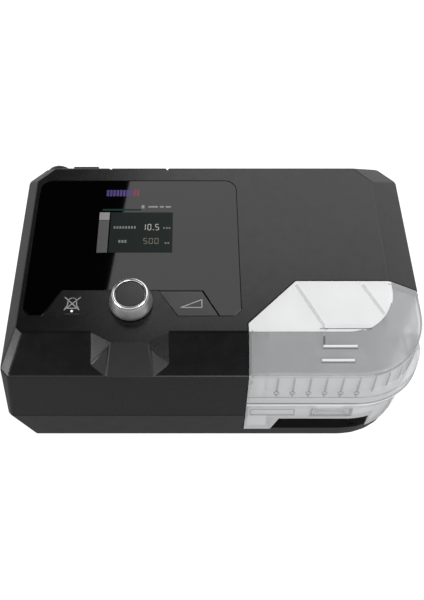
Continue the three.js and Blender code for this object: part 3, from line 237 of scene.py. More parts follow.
HOUSING = moulded("housing_plastic", (0.0065, 0.0065, 0.0068), 0.27)
BASE = moulded("base_plastic", (0.0120, 0.0120, 0.0124), 0.40)
PANEL = moulded("panel_gloss", (0.0004, 0.0004, 0.0004), 0.035, grain=3.0, depth=0.001)
MUTE_KEY = moulded("mute_key_plastic", (0.0080, 0.0080, 0.0083), 0.27, grain=0.5, depth=0.012)
RAMP_KEY = moulded("ramp_key_plastic", (0.030, 0.030, 0.031), 0.22, grain=0.6, depth=0.006)
SCREEN = glowing("screen_ground", (0.0100, 0.0130, 0.0125), 0.5, 0.3)
LIT_GREY = glowing("screen_grey", (0.070, 0.070, 0.070), 0.6)
LIT_PALE = glowing("screen_pale", (0.17, 0.17, 0.17), 0.7)
LIT_WHITE = glowing("screen_white", (0.26, 0.27, 0.25), 0.8)
LIT_WORD = glowing("screen_word", (0.11, 0.12, 0.115), 0.7)
LIT_SAND = glowing("screen_sand", (0.085, 0.085, 0.058), 0.6)
LIT_TEAL = glowing("screen_teal", (0.009, 0.026, 0.025), 0.5)
LIT_VIOLET = glowing("mark_violet", (0.040, 0.022, 0.12), 0.6)
LIT_RED = glowing("mark_red", (0.13, 0.016, 0.036), 0.6)
for unglossy in (SCREEN, LIT_GREY, LIT_TEAL):
    unglossy.node_tree.nodes["Principled BSDF"].inputs["Specular IOR Level"].default_value = 0.08
PRINT = moulded("white_print", (0.42, 0.42, 0.42), 0.5, grain=0.3, depth=0.004)
PRINT_DIM = moulded("grey_print", (0.05, 0.05, 0.05), 0.5, grain=0.3, depth=0.004)
LED = glowing("led_white", (0.75, 0.75, 0.75), 0.6)
SATIN = brushed("satin_metal", (0.64, 0.64, 0.65), 0.40)
POLISHED = brushed("polished_metal", (0.93, 0.93, 0.94), 0.24)
CAP = moulded("knob_cap_metal", (0.055, 0.055, 0.056), 0.38, grain=0.35, depth=0.012, metal=0.3)
CLEAR = clear_plastic("clear_plastic", (0.92, 0.93, 0.94), 0.45)
# Lit and shaded copies of the clear plastic, given to the lid's faces by slope: a lighter one for
# the top (painted light) and a darker one for the slanting band (painted shade).
CLEAR_TOP_PAINTED_LIGHT = clear_plastic("clear_top_painted_light", (0.985, 0.99, 0.995), 0.86)
CLEAR_BAND_PAINTED_SHADE = clear_plastic("clear_band_painted_shade", (0.60, 0.61, 0.62), 0.40)
CLEAR_FAINT = clear_plastic("clear_faint_plastic", (0.70, 0.71, 0.72), 0.38)
# Bright clear plastic for painted highlights: on the level marks and on the tub's rim just under
# the seam.
CLEAR_HIGHLIGHT = clear_plastic("clear_highlight_plastic", (0.95, 0.96, 0.97), 0.85)
# Grey clear plastic: the baffle, the ribs and the dot collars, and strips of painted shade just
# inside the lid's edges, round the slot's mouth and along the plate's outline; also a darker line
# near the top of the lid's flange.
CLEAR_SHADE = clear_plastic("clear_shade_plastic", (0.40, 0.405, 0.41), 0.42)
DOT_WHITE = moulded("dot_white_plastic", (0.97, 0.97, 0.97), 0.3)
# Dark clear plastic: the guide walls under the lid, and strips of painted shade in the seam, along
# the shoulder and beside the level marks.
CLEAR_LINE = clear_plastic("clear_line_plastic", (0.16, 0.165, 0.17), 0.62)
LEVER = moulded(
    "lever_plastic", (0.002, 0.002, 0.002), 0.5, grain=0.5, depth=0.015, Specular_IOR_Level=0.05
)
RUBBER = moulded("black_rubber", (0.012, 0.012, 0.012), 0.8, grain=0.4, depth=0.03)
SILICONE = moulded("silicone", (0.55, 0.56, 0.58), 0.5, grain=0.7, depth=0.01)
WHITE = moulded("white_plastic", (0.72, 0.72, 0.70), 0.42)
BOARD = moulded("circuit_board", (0.012, 0.095, 0.035), 0.45, grain=1.2, depth=0.05)
STEEL = brushed("steel", (0.50, 0.51, 0.52), 0.28)
ALUMINIUM = brushed("aluminium", (0.62, 0.63, 0.64), 0.34, (1, 10, 1))
COPPER = brushed("copper", (0.60, 0.27, 0.14), 0.35)
FOAM = moulded("filter_foam", (0.09, 0.095, 0.10), 0.95, vary=0.3, grain=1.6, depth=0.7)
# The gasket is dark grey instead of light silicone so that, seen through the clear wall, it draws
# the dark line of the seam: painted shade.
GASKET_SEAM_SHADE = moulded("gasket_painted_seam_shade", (0.035, 0.035, 0.036), 0.6, grain=0.6, depth=0.01)

# ---- shape tools ----

scene = bpy.context.scene


def temporary(build, name="tool"):
    """A scratch object holding what `build` draws in a bmesh."""
    mesh = bpy.data.meshes.new(name)
    drawing = bmesh.new()
    build(drawing)
    bmesh.ops.recalc_face_normals(drawing, faces=drawing.faces)
    drawing.to_mesh(mesh)
    drawing.free()
    thing = bpy.data.objects.new(name, mesh)
    scene.collection.objects.link(thing)
    return thing


def loft(rings):
    """A closed body through rings with the same number of corners."""

    def build(drawing):
        levels = [[drawing.verts.new(point) for point in ring_points] for ring_points in rings]
        count = len(rings[0])
        for lower, upper in zip(levels, levels[1:]):
            for corner in range(count):
                after = (corner + 1) % count
                drawing.faces.new((lower[corner], lower[after], upper[after], upper[corner]))
        drawing.faces.new(list(reversed(levels[0])))
        drawing.faces.new(levels[-1])

    return temporary(build)


def prism(outline, low, high):
    return loft([[(x, y, z) for x, y in outline] for z in (low, high)])


def slope_prism(outline, low, high):
    """A prism drawn on the sloping top, its heights measured square to it."""
    return loft([[on_slope(x, y, height) for x, y in outline] for height in (low, high)])


def rectangle(left, right, front, back):
    return [(left, front), (right, front), (right, back), (left, back)]


def block(low, high):
    return prism(rectangle(low[0], high[0], low[1], high[1]), low[2], high[2])


def bar(start, end, radius, end_radius=None, sides=32):
    """A round bar between two points."""
    end_radius = radius if end_radius is None else end_radius
    start, end = Vector(start), Vector(end)
    turn = (end - start).to_track_quat("Z", "Y").to_matrix()
    rings = []
    for centre, size in ((start, radius), (end, end_radius)):
        circle = []
        for side in range(sides):
            angle = 2 * math.pi * side / sides
            offset = Vector((size * math.cos(angle), size * math.sin(angle), 0))
            circle.append(centre + turn @ offset)
        rings.append(circle)
    return loft(rings)


def turned(profile, place=Matrix.Identity(4), sides=96, ripple=None):
    """A body turned about Z from (radius, height) pairs that close on themselves or the axis."""

    def build(drawing):
        columns = []
        for radius, height in profile:
            if radius == 0:
                columns.append([drawing.verts.new(place @ Vector((0, 0, height)))] * sides)
                continue
            column = []
            for side in range(sides):
                angle = 2 * math.pi * side / sides
                reach = radius + (ripple(angle, radius, height) if ripple else 0.0)
                point = Vector((reach * math.cos(angle), reach * math.sin(angle), height))
                column.append(drawing.verts.new(place @ point))
            columns.append(column)
        pairs = list(zip(columns, columns[1:]))
        if profile[0][0] and profile[-1][0]:
            pairs.append((columns[-1], columns[0]))
        for inner, outer in pairs:
            for side in range(sides):
                after = (side + 1) % sides
                corners = [inner[side], inner[after], outer[after], outer[side]]
                unique = list(dict.fromkeys(corners))
                if len(unique) > 2:
                    drawing.faces.new(unique)

    return temporary(build)


def combine(operation, body, *tools):
    """Applies one Boolean operation with each tool in turn and clears the tools away."""
    for tool in tools:
        modifier = body.modifiers.new("combine", "BOOLEAN")
        modifier.operation = operation
        modifier.solver = "EXACT"
        modifier.object = tool
        bpy.context.view_layer.update()
        graph = bpy.context.evaluated_depsgraph_get()
        mesh = bpy.data.meshes.new_from_object(body.evaluated_get(graph))
        body.modifiers.clear()
        body.data = mesh
        bpy.data.objects.remove(tool)
    return body


def cut(body, *tools):
    return combine("DIFFERENCE", body, *tools)


def joined(body, *tools):
    return combine("UNION", body, *tools)


def shared(body, *tools):
    return combine("INTERSECT", body, *tools)


def creased_edges(drawing, angle, test):
    """The edges whose two faces turn by more than the angle, and that pass the test."""
    return [
        edge
        for edge in drawing.edges
        if len(edge.link_faces) == 2 and edge.calc_face_angle(0) > angle and test(edge)
    ]


def rounded(body, width, segments=3, angle=0.35, test=lambda edge: True):
    """Rounds the sharp edges that pass the test."""
    drawing = bmesh.new()
    drawing.from_mesh(body.data)
    edges = creased_edges(drawing, angle, test)
    bmesh.ops.bevel(
        drawing,
        geom=edges,
        offset=width,
        offset_type="OFFSET",
        segments=segments,
        profile=0.5,
        affect="EDGES",
        clamp_overlap=False,
        miter_outer="ARC",
    )
    drawing.to_mesh(body.data)
    drawing.free()
    return body


def cad_copy(node):
    """The CAD node's mesh as a scratch object in the machine's own frame."""
    mesh = frame["nodes"][node].data.copy()
    mesh.materials.clear()
    mesh.transform(TO_BODY)
    drawing = bmesh.new()
    drawing.from_mesh(mesh)
    bmesh.ops.remove_doubles(drawing, verts=drawing.verts, dist=1e-4)
    bmesh.ops.dissolve_limit(
        drawing,
        angle_limit=0.002,
        verts=drawing.verts,
        edges=drawing.edges,
    )
    drawing.to_mesh(mesh)
    drawing.free()
    thing = bpy.data.objects.new(node + "_copy", mesh)
    scene.collection.objects.link(thing)
    return thing


def finished(thing, name, body, material, replaces=(), sharp=0.3):
    """Turns a scratch object into a piece: metres, smooth shading, material, body."""
    thing.name = name
    thing.data.name = name
    thing.data.transform(TO_ROW)
    drawing = bmesh.new()
    drawing.from_mesh(thing.data)
    bmesh.ops.remove_doubles(drawing, verts=drawing.verts, dist=1e-7)
    bmesh.ops.recalc_face_normals(drawing, faces=drawing.faces)
    drawing.to_mesh(thing.data)
    drawing.free()
    thing.data.materials.clear()
    thing.data.materials.append(material)
    thing.data.shade_smooth()
    thing.data.set_sharp_from_angle(angle=sharp)
    weighted = thing.modifiers.new("flat faces stay flat", "WEIGHTED_NORMAL")
    weighted.keep_sharp = True
    weighted.weight = 80
    if body:
        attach(thing, body)
    if replaces:
        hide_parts(*replaces)
    return thing


# ---- the outer form, drawn finer than the CAD ----


def ring(left, right, front, back, height, slope=0.0, corner=TANK_CORNER, front_cut=SEAM_CUT):
    """One level of the outer form, seen from above."""
    corners = [(left + front_cut, front)]
    for step in range(CORNER_STEPS + 1):
        angle = math.pi / 2 * (step / CORNER_STEPS - 1)
        x = right - corner + corner * math.cos(angle)
        y = front + corner + corner * math.sin(angle)
        corners.append((x, y))
    corners += [(right, back - SIDE_CHAMFER), (right - SIDE_CHAMFER, back)]
    corners += [(left + SIDE_CHAMFER, back), (left, back - SIDE_CHAMFER)]
    corners.append((left, front + front_cut))
    return [(x, y, height + slope * y) for x, y in corners]


def seam_ring(height, wall=0.0, front=0.0, right=BODY_RIGHT, corner=TANK_CORNER):
    return ring(
        SEAM_LEFT + wall, right - wall, front + wall, BODY_DEPTH - wall, height, 0.0, corner - wall
    )


def shoulder_ring(wall=0.0, drop=0.0):
    return ring(
        BODY_LEFT + wall,
        BODY_RIGHT - wall,
        wall,
        BODY_DEPTH - wall,
        SHOULDER_HEIGHT - drop,
        TOP_SLOPE,
        TANK_CORNER - wall,
        SHOULDER_CUT,
    )


def top_ring(wall=0.0, drop=0.0):
    return ring(
        TOP_LEFT_X + wall,
        TOP_RIGHT_X - wall,
        TOP_FRONT_Y + wall,
        TOP_BACK_Y - wall,
        TOP_HEIGHT - drop,
        TOP_SLOPE,
        TOP_CORNER - wall,
        TOP_CUT,
    )


def base_ring():
    return ring(
        BASE_LEFT - CLEAR_OF,
        BASE_RIGHT + CLEAR_OF,
        BASE_FRONT - CLEAR_OF,
        BASE_BACK + CLEAR_OF,
        FOOT_DROP - CLEAR_OF,
    )


def level_edge(height):
    """A test for edges that lie at one height."""

    def test(edge):
        return all(abs(vert.co.z - height) < 0.05 for vert in edge.verts)

    return test


def edge_rise(edge):
    return edge.verts[0].co.z - edge.verts[1].co.z


SEAM_LOW = SEAM_HEIGHT - SEAM_GAP / 2
SEAM_HIGH = SEAM_HEIGHT + SEAM_GAP / 2

# the pillar's half widths at its foot, crown and flanks, and where those points lie
PILLAR_FOOT = 16.5
PILLAR_CROWN = 13.7
PILLAR_CROWN_Y = 12.4
PILLAR_SPREAD = 26.5
FLANK_Y = 6.0
FLANK_Z = 85.2


def knob_pillar():
    """The wedge under the knob that carries the top forward over the sloping front band."""
    back = TOP_FRONT_Y + 6
    middle = [
        (PILLAR_FOOT, 0, SHOULDER_HEIGHT),
        (PILLAR_SPREAD, FLANK_Y, FLANK_Z),
        (PILLAR_SPREAD, back, SHOULDER_HEIGHT),
    ]
    low = [(x, y, SHOULDER_HEIGHT - 8) for x, y, _ in middle]
    rim = ((PILLAR_CROWN, PILLAR_CROWN_Y), (PILLAR_SPREAD, TOP_FRONT_Y), (PILLAR_SPREAD, back))
    high = [(x, y, TOP_HEIGHT + TOP_SLOPE * y) for x, y in rim]

    def side_of(drawing, mirror):
        """One half's corners, level by level."""
        return [
            [
                drawing.verts.new((KNOB_X + mirror * (x + CLEAR_OF), y - CLEAR_OF, z + CLEAR_OF))
                for x, y, z in level
            ]
            for level in (low, middle, high)
        ]

    def build(drawing):
        left, right = [side_of(drawing, mirror) for mirror in (-1, 1)]
        for low_side, (foot, flank, back_mid), (crown, shoulder, back_top) in (left, right):
            drawing.faces.new((low_side[0], low_side[1], flank, foot))
            drawing.faces.new((low_side[1], low_side[2], back_mid, flank))
            drawing.faces.new((foot, flank, crown))
            drawing.faces.new((crown, flank, shoulder))
            drawing.faces.new((flank, back_mid, back_top, shoulder))
        for lower, upper in ((0, 1), (1, 2)):
            for end in (0, 2):
                drawing.faces.new(
                    (left[lower][end], right[lower][end], right[upper][end], left[upper][end])
                )
        for level in (0, 2):
            drawing.faces.new((*left[level], *reversed(right[level])))

    def upright(edge):
        return abs(edge_rise(edge)) > 3 and all(vert.co.y < TOP_FRONT_Y - 5 for vert in edge.verts)

    return rounded(temporary(build), 1.2, 4, 0.1, upright)


def upper_form():
    levels = [
        seam_ring(SEAM_HIGH - CLEAR_OF, -CLEAR_OF),
        shoulder_ring(-CLEAR_OF, -CLEAR_OF),
        top_ring(-CLEAR_OF, -CLEAR_OF),
    ]
    form = loft(levels)
    rounded(form, 1.5, 4, 0.3, lambda edge: not level_edge(SEAM_HIGH)(edge))
    rounded(form, 0.5, 2, 0.5, level_edge(SEAM_HIGH))
    return joined(form, knob_pillar())


def base_form():
    form = loft([base_ring(), seam_ring(SEAM_LOW + CLEAR_OF, -CLEAR_OF)])
    rounded(form, 1.0, 3, 0.3, lambda edge: not level_edge(SEAM_LOW)(edge))
    return rounded(form, 0.5, 2, 0.5, level_edge(SEAM_LOW))


upper = shared(cad_copy("upper_housing"), upper_form())
finished(upper, "housing_upper", "housing", HOUSING, ["upper_housing"])
base = shared(cad_copy("base_housing"), base_form())
finished(base, "housing_base", "housing", BASE, ["base_housing"])

# ---- the glossy panel, its marks and the keys ----


def arc(x, y, radius, start, end, steps):
    return [
        (
            x + radius * math.cos(start + (end - start) * step / steps),
            y + radius * math.sin(start + (end - start) * step / steps),
        )
        for step in range(steps + 1)
    ]


# the notch's slanted ends: x at the glass's front, then at the notch's back
NOTCH_LEFT = (-119.4, -107.6)
NOTCH_RIGHT = (2.4, -9.0)


def glass_outline():
    """The glass seen square on: cut-off front corners, a notch for the keys and the knob."""
    half = TONGUE_HALF + GAP
    right = PANEL_RIGHT - PANEL_CORNER
    left = PANEL_LEFT + PANEL_CORNER
    back = PANEL_BACK - PANEL_CORNER
    return [
        (PANEL_LEFT, PANEL_FRONT + PANEL_CUT),
        (PANEL_LEFT + PANEL_CUT, PANEL_FRONT),
        (NOTCH_LEFT[0], PANEL_FRONT),
        (NOTCH_LEFT[1], NOTCH_BACK),
        (KNOB_X - half, NOTCH_BACK),
        (KNOB_X - half, NOTCH_BACK + GAP),
        (KNOB_X + half, NOTCH_BACK + GAP),
        (KNOB_X + half, NOTCH_BACK),
        (NOTCH_RIGHT[1], NOTCH_BACK),
        (NOTCH_RIGHT[0], PANEL_FRONT),
        (PANEL_RIGHT - PANEL_CUT, PANEL_FRONT),
        (PANEL_RIGHT, PANEL_FRONT + PANEL_CUT),
        *arc(right, back, PANEL_CORNER, 0, math.pi / 2, 12),
        *arc(left, back, PANEL_CORNER, math.pi / 2, math.pi, 12),
    ]


GLASS_BOTTOM, GLASS_TOP = -2.3, -0.05


def above(height):
    """A test for edges on the upper face of a thing lying on the sloping top."""

    def test(edge):
        lifts = [(SLOPE_PLACE.inverted() @ vert.co).z for vert in edge.verts]
        return all(lift > height for lift in lifts)

    return test


glass = slope_prism(glass_outline(), GLASS_BOTTOM, GLASS_TOP)
rounded(glass, 0.35, 3, 0.5, above(-0.3))
finished(glass, "panel_glass", "housing", PANEL, ["display_glass"])


def softened(node, width, name, body, material, angle=0.5):
    """The CAD node's own shape with its sharp edges rounded."""
    thing = rounded(cad_copy(node), width, 2, angle)
    return finished(thing, name, body, material, [node])


# The mute key all but closes the gaps round it, so it reads as part of the tongue.
KEY_BOTTOM, KEY_TOP = -1.8, -0.1
KEY_GAP = 0.1
mute_outline = [
    (-118.6, PANEL_FRONT - 0.3),
    (KNOB_X - 32.0 - KEY_GAP, PANEL_FRONT - 0.3),
    (KNOB_X - TONGUE_HALF - KEY_GAP, NOTCH_BACK - KEY_GAP),
    (-107.2, NOTCH_BACK - KEY_GAP),
]
mute = rounded(slope_prism(mute_outline, KEY_BOTTOM, KEY_TOP), 0.15, 2, 0.5)
finished(mute, "key_mute", "mute_button", MUTE_KEY, ["mute_key"])
softened("ramp_key", 0.3, "key_ramp", "ramp_button", RAMP_KEY)

MARK_LIFT = 0.02  # how far a printed mark stands over what it is printed on


def printed(name, outlines, level, body, material):
    """Flat marks printed on the panel or a key."""

    def build(drawing):
        for outline in outlines:
            lower = [drawing.verts.new(on_slope(x, y, level)) for x, y in outline]
            upper_face = [
                drawing.verts.new(on_slope(x, y, level + MARK_LIFT)) for x, y in outline
            ]
            count = len(outline)
            for corner in range(count):
                after = (corner + 1) % count
                drawing.faces.new(
                    (lower[corner], lower[after], upper_face[after], upper_face[corner])
                )
            drawing.faces.new(list(reversed(lower)))
            drawing.faces.new(upper_face)

    return finished(temporary(build), name, body, material, sharp=0.5)


def stroke(start, end, width):
    """A straight line of the given width with square ends."""
    start, end = Vector(start), Vector(end)
    along = (end - start).normalized() * width / 2
    side = Vector((-along.y, along.x))
    start, end = start - along, end + along
    return [tuple(point) for point in (start - side, end - side, end + side, start + side)]


def chain(points, width, closed=False):
    """A stroke between each point and the next."""
    pairs = list(zip(points, points[1:]))
    if closed:
        pairs.append((points[-1], points[0]))
    return [stroke(start, end, width) for start, end in pairs]


SEGMENTS = {
    "0": "abcdef",
    "1": "bc",
    "5": "acdfg",
}


def digit(character, left, front, wide, tall, line):
    """A numeral made of straight bars, each clear of its neighbours."""
    right, back, middle = left + wide, front + tall, front + tall / 2
    inset = line * 0.75
    bars = {
        "a": rectangle(left + inset, right - inset, back - line, back),
        "b": rectangle(right - line, right, middle + inset / 2, back - inset),
        "c": rectangle(right - line, right, front + inset, middle - inset / 2),
        "d": rectangle(left + inset, right - inset, front, front + line),
        "e": rectangle(left, left + line, front + inset, middle - inset / 2),
        "f": rectangle(left, left + line, middle + inset / 2, back - inset),
        "g": rectangle(left + inset, right - inset, middle - line / 2, middle + line / 2),
    }
    return [bars[segment] for segment in SEGMENTS[character]]


def numerals(text, left, front, wide, tall, line=0.55, pitch=4.1):
    """The bars of a whole number or a decimal one."""
    outlines = []
    at = left
    for character in text:
        if character == ".":
            outlines.append(rectangle(at, at + line * 1.3, front, front + line * 1.3))
            at += line * 3
            continue
        outlines += digit(character, at, front, wide, tall, line)
        at += pitch
    return outlines


SCREEN_LEVEL = GLASS_TOP + 0.005
MARK_LEVEL = SCREEN_LEVEL + MARK_LIFT
SCREEN_LEFT = -86.0
SCREEN_RIGHT = -31.0
SCREEN_FRONT = 86.6
SCREEN_BACK = 122.7
BAR_WIDTH = 7.6

TOP_CELL = 7.0  # how much of the side bar the paler cell at its top takes up


def shown(name, outlines, material, level=SCREEN_LEVEL):
    """Marks on the display or on the glass round it."""
    return printed(name, outlines, level, "housing", material)


def dashes(left, front, count, wide, tall, pitch):
    """A row of plain blocks in the place of lettering."""
    return [
        rectangle(left + pitch * number, left + pitch * number + wide, front, front + tall)
        for number in range(count)
    ]


bar_right = SCREEN_LEFT + BAR_WIDTH
ground = rectangle(bar_right + 1, SCREEN_RIGHT, SCREEN_FRONT, SCREEN_BACK)
status = rectangle(SCREEN_LEFT + 2, SCREEN_RIGHT - 24, SCREEN_BACK + 1.6, SCREEN_BACK + 3.2)
side_bar = rectangle(SCREEN_LEFT, bar_right, SCREEN_FRONT, SCREEN_BACK - TOP_CELL - 0.4)
side_bar_top = rectangle(SCREEN_LEFT, bar_right, SCREEN_BACK - TOP_CELL, SCREEN_BACK)
shown("screen_area", [ground], SCREEN)
shown("screen_status", [status], LIT_TEAL)
shown("screen_bar", [side_bar], LIT_GREY)
shown("screen_bar_top", [side_bar_top], LIT_PALE)

captions = dashes(-74.8, 107.8, 8, 1.3, 2.2, 2.15) + dashes(-70.6, 95.2, 3, 1.5, 2.4, 2.2)
captions += dashes(-38.0, 107.8, 3, 1.2, 1.2, 2.0) + dashes(-36.6, 94.4, 2, 1.2, 1.2, 2.0)
shown("screen_value", numerals("10.5", -53.8, 106.4, 2.8, 5.6), LIT_WHITE, MARK_LEVEL)
shown("screen_volume", numerals("500", -52.4, 94.2, 3.0, 5.2), LIT_SAND, MARK_LEVEL)
shown("screen_words", captions, LIT_WORD, MARK_LEVEL)
icons = [
    rectangle(-54.8, -52.6, 126.4, 129.4),
    rectangle(-49.6, -42.4, 127.2, 128.6),
    rectangle(-41.0, -38.0, 127.2, 128.6),
    rectangle(-36.6, -32.6, 127.2, 128.6),
]
shown("screen_icons", icons, LIT_PALE, MARK_LEVEL)
shown("plain_mark", dashes(-82.0, 138.0, 8, 1.9, 6.0, 2.5), LIT_VIOLET)
shown("plain_mark_end", dashes(-61.6, 138.0, 2, 1.9, 6.6, 2.5), LIT_RED)

# ---- marks on the keys ----

BELL = (-99.6, 44.4)


def bell_mark():
    x, y = BELL
    line = 0.7
    left = arc(x, y + 1.6, 3.0, math.pi, math.pi / 2, 6)
    dome = [(x - 4.6, y - 3.4), (x - 3.2, y - 1.2), *left]
    mirrored = [(2 * x - px, py) for px, py in reversed(dome)]
    outline = dome + mirrored[1:]
    strokes = chain(outline, line) + [stroke((x - 4.6, y - 3.4), (x + 4.6, y - 3.4), line)]
    strokes.append(stroke((x - 5.2, y + 5.0), (x + 5.0, y - 4.6), line))
    strokes.append(stroke((x - 5.0, y - 4.6), (x + 5.2, y + 5.0), line))
    return strokes


RAMP_MARK = [(-24.4, 41.6), (-9.8, 41.6), (-9.8, 47.8)]
printed("bell_mark", bell_mark(), KEY_TOP, "mute_button", PRINT)
printed("ramp_mark", chain(RAMP_MARK, 0.7, True), KEY_TOP, "ramp_button", PRINT)
led_spot = arc(BELL[0] + 0.2, 38.8, 0.95, 0, 2 * math.pi * 15 / 16, 15)
printed("mute_led", [led_spot], KEY_TOP, "mute_button", LED)
dash = [rectangle(-104.0, -94.0, 36.3, 36.8)]
printed("mute_dash", dash, KEY_TOP, "mute_button", PRINT_DIM)

# ---- knob ----

# heights are measured from the knob's underside
KNOB_SPOT = on_slope(KNOB_X, KNOB_Y, KNOB_CLEARANCE)
KNOB_PLACE = Matrix.Translation(KNOB_SPOT) @ Matrix.Rotation(TILT, 4, "X")
GRIP_LINES = 60


def knurl(angle, radius, height):
    """Shallow upright grip lines on the knob's side."""
    on_side = radius > KNOB_TOP_RADIUS + 0.05 and height > 0.5
    return 0.04 * math.cos(GRIP_LINES * angle) if on_side else 0.0


skirt_profile = [
    (2.4, 5),
    (KNOB_TOP_RADIUS - 3, 5),
    (KNOB_RADIUS - 2.5, 0),
    (KNOB_RADIUS - 0.5, 0),
    (KNOB_RADIUS - 0.1, 0.2),
    (KNOB_RADIUS - 0.02, 0.8),
    (KNOB_RADIUS - 0.1, 1.8),
    (KNOB_RADIUS - 0.35, 3.2),
    (KNOB_RADIUS - 0.95, 5.4),
    (KNOB_RADIUS - 1.6, 7.6),
    (KNOB_TOP_RADIUS + 0.45, 9.2),
    (KNOB_TOP_RADIUS + 0.1, KNOB_HEIGHT - 2.4),
    (KNOB_TOP_RADIUS - 0.4, KNOB_HEIGHT - 2.2),
    (2.4, KNOB_HEIGHT - 2.2),
]
skirt = turned(skirt_profile, KNOB_PLACE, GRIP_LINES * 6, knurl)
finished(skirt, "knob_side", "knob", SATIN, ["knob_skirt"])

ring_profile = [
    (10.2, KNOB_HEIGHT - 2),
    (KNOB_TOP_RADIUS - 0.1, KNOB_HEIGHT - 2),
    (KNOB_TOP_RADIUS + 0.05, KNOB_HEIGHT - 1.7),
    (KNOB_TOP_RADIUS, KNOB_HEIGHT - 1.1),
    (KNOB_TOP_RADIUS - 0.25, KNOB_HEIGHT - 0.5),
    (KNOB_TOP_RADIUS - 0.7, KNOB_HEIGHT - 0.12),
    (KNOB_TOP_RADIUS - 1.2, KNOB_HEIGHT),
    (10.75, KNOB_HEIGHT - 0.2),
    (10.35, KNOB_HEIGHT - 0.8),
]
bezel = turned(ring_profile, KNOB_PLACE)
finished(bezel, "knob_bezel", "knob", POLISHED, ["knob_ring"])

cap_profile = [
    (0, KNOB_HEIGHT - 2),
    (9.9, KNOB_HEIGHT - 2),
    (9.9, KNOB_HEIGHT - 1.15),
    (9.6, KNOB_HEIGHT - 0.85),
    (8.0, KNOB_HEIGHT - 0.8),
    (4.0, KNOB_HEIGHT - 0.74),
    (0, KNOB_HEIGHT - 0.7),
]
cap = turned(cap_profile, KNOB_PLACE)
finished(cap, "knob_face", "knob", CAP, ["knob_cap"])

# ---- water tank ----

BAY_LEFT, BAY_CORNER_Y = 21.0, 29.6
BAY_BACK_LEFT_X, BAY_BACK_Y = 56.2, 63.5
BAY_SIDE_Y = 67.0  # where the bay's back wall meets the body's right side
FAR_FRONT, FAR_RIGHT, FAR_RIGHT_Y, FAR_UP = -20, 200, 75.5, 200  # well clear of the machine


def bay_outline(margin):
    """The tank's plan, drawn in by a margin from the bay's walls."""
    diagonal = margin * math.tan(math.pi / 8)
    return [
        (BAY_LEFT + margin, FAR_FRONT),
        (FAR_RIGHT, FAR_FRONT),
        (FAR_RIGHT, FAR_RIGHT_Y - margin),
        (BODY_RIGHT, BAY_SIDE_Y - margin),
        (TOP_RIGHT_X, BAY_BACK_Y - margin),
        (BAY_BACK_LEFT_X + diagonal, BAY_BACK_Y - margin),
        (BAY_LEFT + margin, BAY_CORNER_Y - diagonal),
    ]


TANK_MARGIN = 0.9
TUB_FRONT, RIM_FRONT, LIP_FRONT = 2.6, 1.2, 0.3  # how far each level's front face is set back


def tank_plan(margin, low, high=FAR_UP):
    return prism(bay_outline(margin), low, high)


def tank_form(wall=0.0, soft=True):
    """The machine's outer form where the tank is, drawn in by a wall."""
    levels = [
        seam_ring(TUB_BOTTOM - wall, wall, TUB_FRONT, BODY_RIGHT - 3),
        seam_ring(TANK_SEAM - LIP_HEIGHT, wall, RIM_FRONT),
        shoulder_ring(wall, wall),
        top_ring(wall, wall),
    ]
    form = loft(levels)
    if not soft:
        return form

    def high_edge(edge):
        return all(vert.co.z > SHOULDER_HEIGHT - 4 for vert in edge.verts)

    return rounded(form, 2.2, 5, 0.3, high_edge)


LIP_RIGHT = BODY_RIGHT + LIP_REACH


def tank_rim():
    """The flange that stands out round the joint between tub and lid."""
    levels = [
        seam_ring(TANK_SEAM - LIP_HEIGHT, 0.0, RIM_FRONT),
        seam_ring(TANK_SEAM - 3, 0.0, LIP_FRONT, LIP_RIGHT, LIP_ROUND),
        seam_ring(TANK_SEAM + 7, 0.0, LIP_FRONT, LIP_RIGHT, LIP_ROUND),
        seam_ring(TANK_SEAM + LIP_HEIGHT + 6, 0.0, LIP_FRONT),
    ]
    return rounded(loft(levels), 0.8, 3, 0.12, lambda edge: abs(edge_rise(edge)) < 0.5)


HINGE_X = LIP_RIGHT + 0.2
HINGE_RADIUS = 2.3
HINGE_PIN = 1.1
TUB_KNUCKLES = ((50, 53), (61, 64))  # each from front to back
LID_KNUCKLE = (53.4, 60.6)


def knuckle(span, margin=0.0):
    front, back = span
    start = (HINGE_X, front - margin, TANK_SEAM)
    end = (HINGE_X, back + margin, TANK_SEAM)
    return bar(start, end, HINGE_RADIUS + margin)


def hinge_bore():
    radius = HINGE_PIN + 0.1
    return bar((HINGE_X, 40, TANK_SEAM), (HINGE_X, 75, TANK_SEAM), radius)


GRIP = {"left": 68.5, "right": 98.0, "low": 33.0, "high": 41.5, "depth": 7.0}
LEVER_LEFT, LEVER_RIGHT, LEVER_TOP, LEVER_DEPTH = 41.0, 112.0, 28.0, 11.5
LEVER_PIVOT_Y, LEVER_PIVOT_Z, LEVER_PIVOT_BORE = 9.2, 22, 1.5
HEATER_LOW, HEATER_HIGH = (52.0, 17.0), (122.0, 54.0)


def lever_space(margin):
    """The room for the lever, cut on a slant at its left end."""
    profile = [
        (LEVER_LEFT - margin, TUB_BOTTOM - 2),
        (LEVER_RIGHT + margin, TUB_BOTTOM - 2),
        (LEVER_RIGHT + margin, LEVER_TOP + margin),
        (LEVER_LEFT + 6 - margin, LEVER_TOP + margin),
    ]
    return loft([[(x, y, z) for x, z in profile] for y in (-10, LEVER_DEPTH)])


def grip_pocket(margin):
    """A finger slot with slanted ends."""
    low, high = GRIP["low"] - margin, GRIP["high"] + margin
    left, right = GRIP["left"] - margin, GRIP["right"] + margin
    levels = []
    for y, slant in ((-5, 0), (0.5, 0), (GRIP["depth"] + margin, 5.5)):
        corners = rectangle(left + slant, right - slant, low, high)
        levels.append([(x, y, z) for x, z in corners])
    return loft(levels)


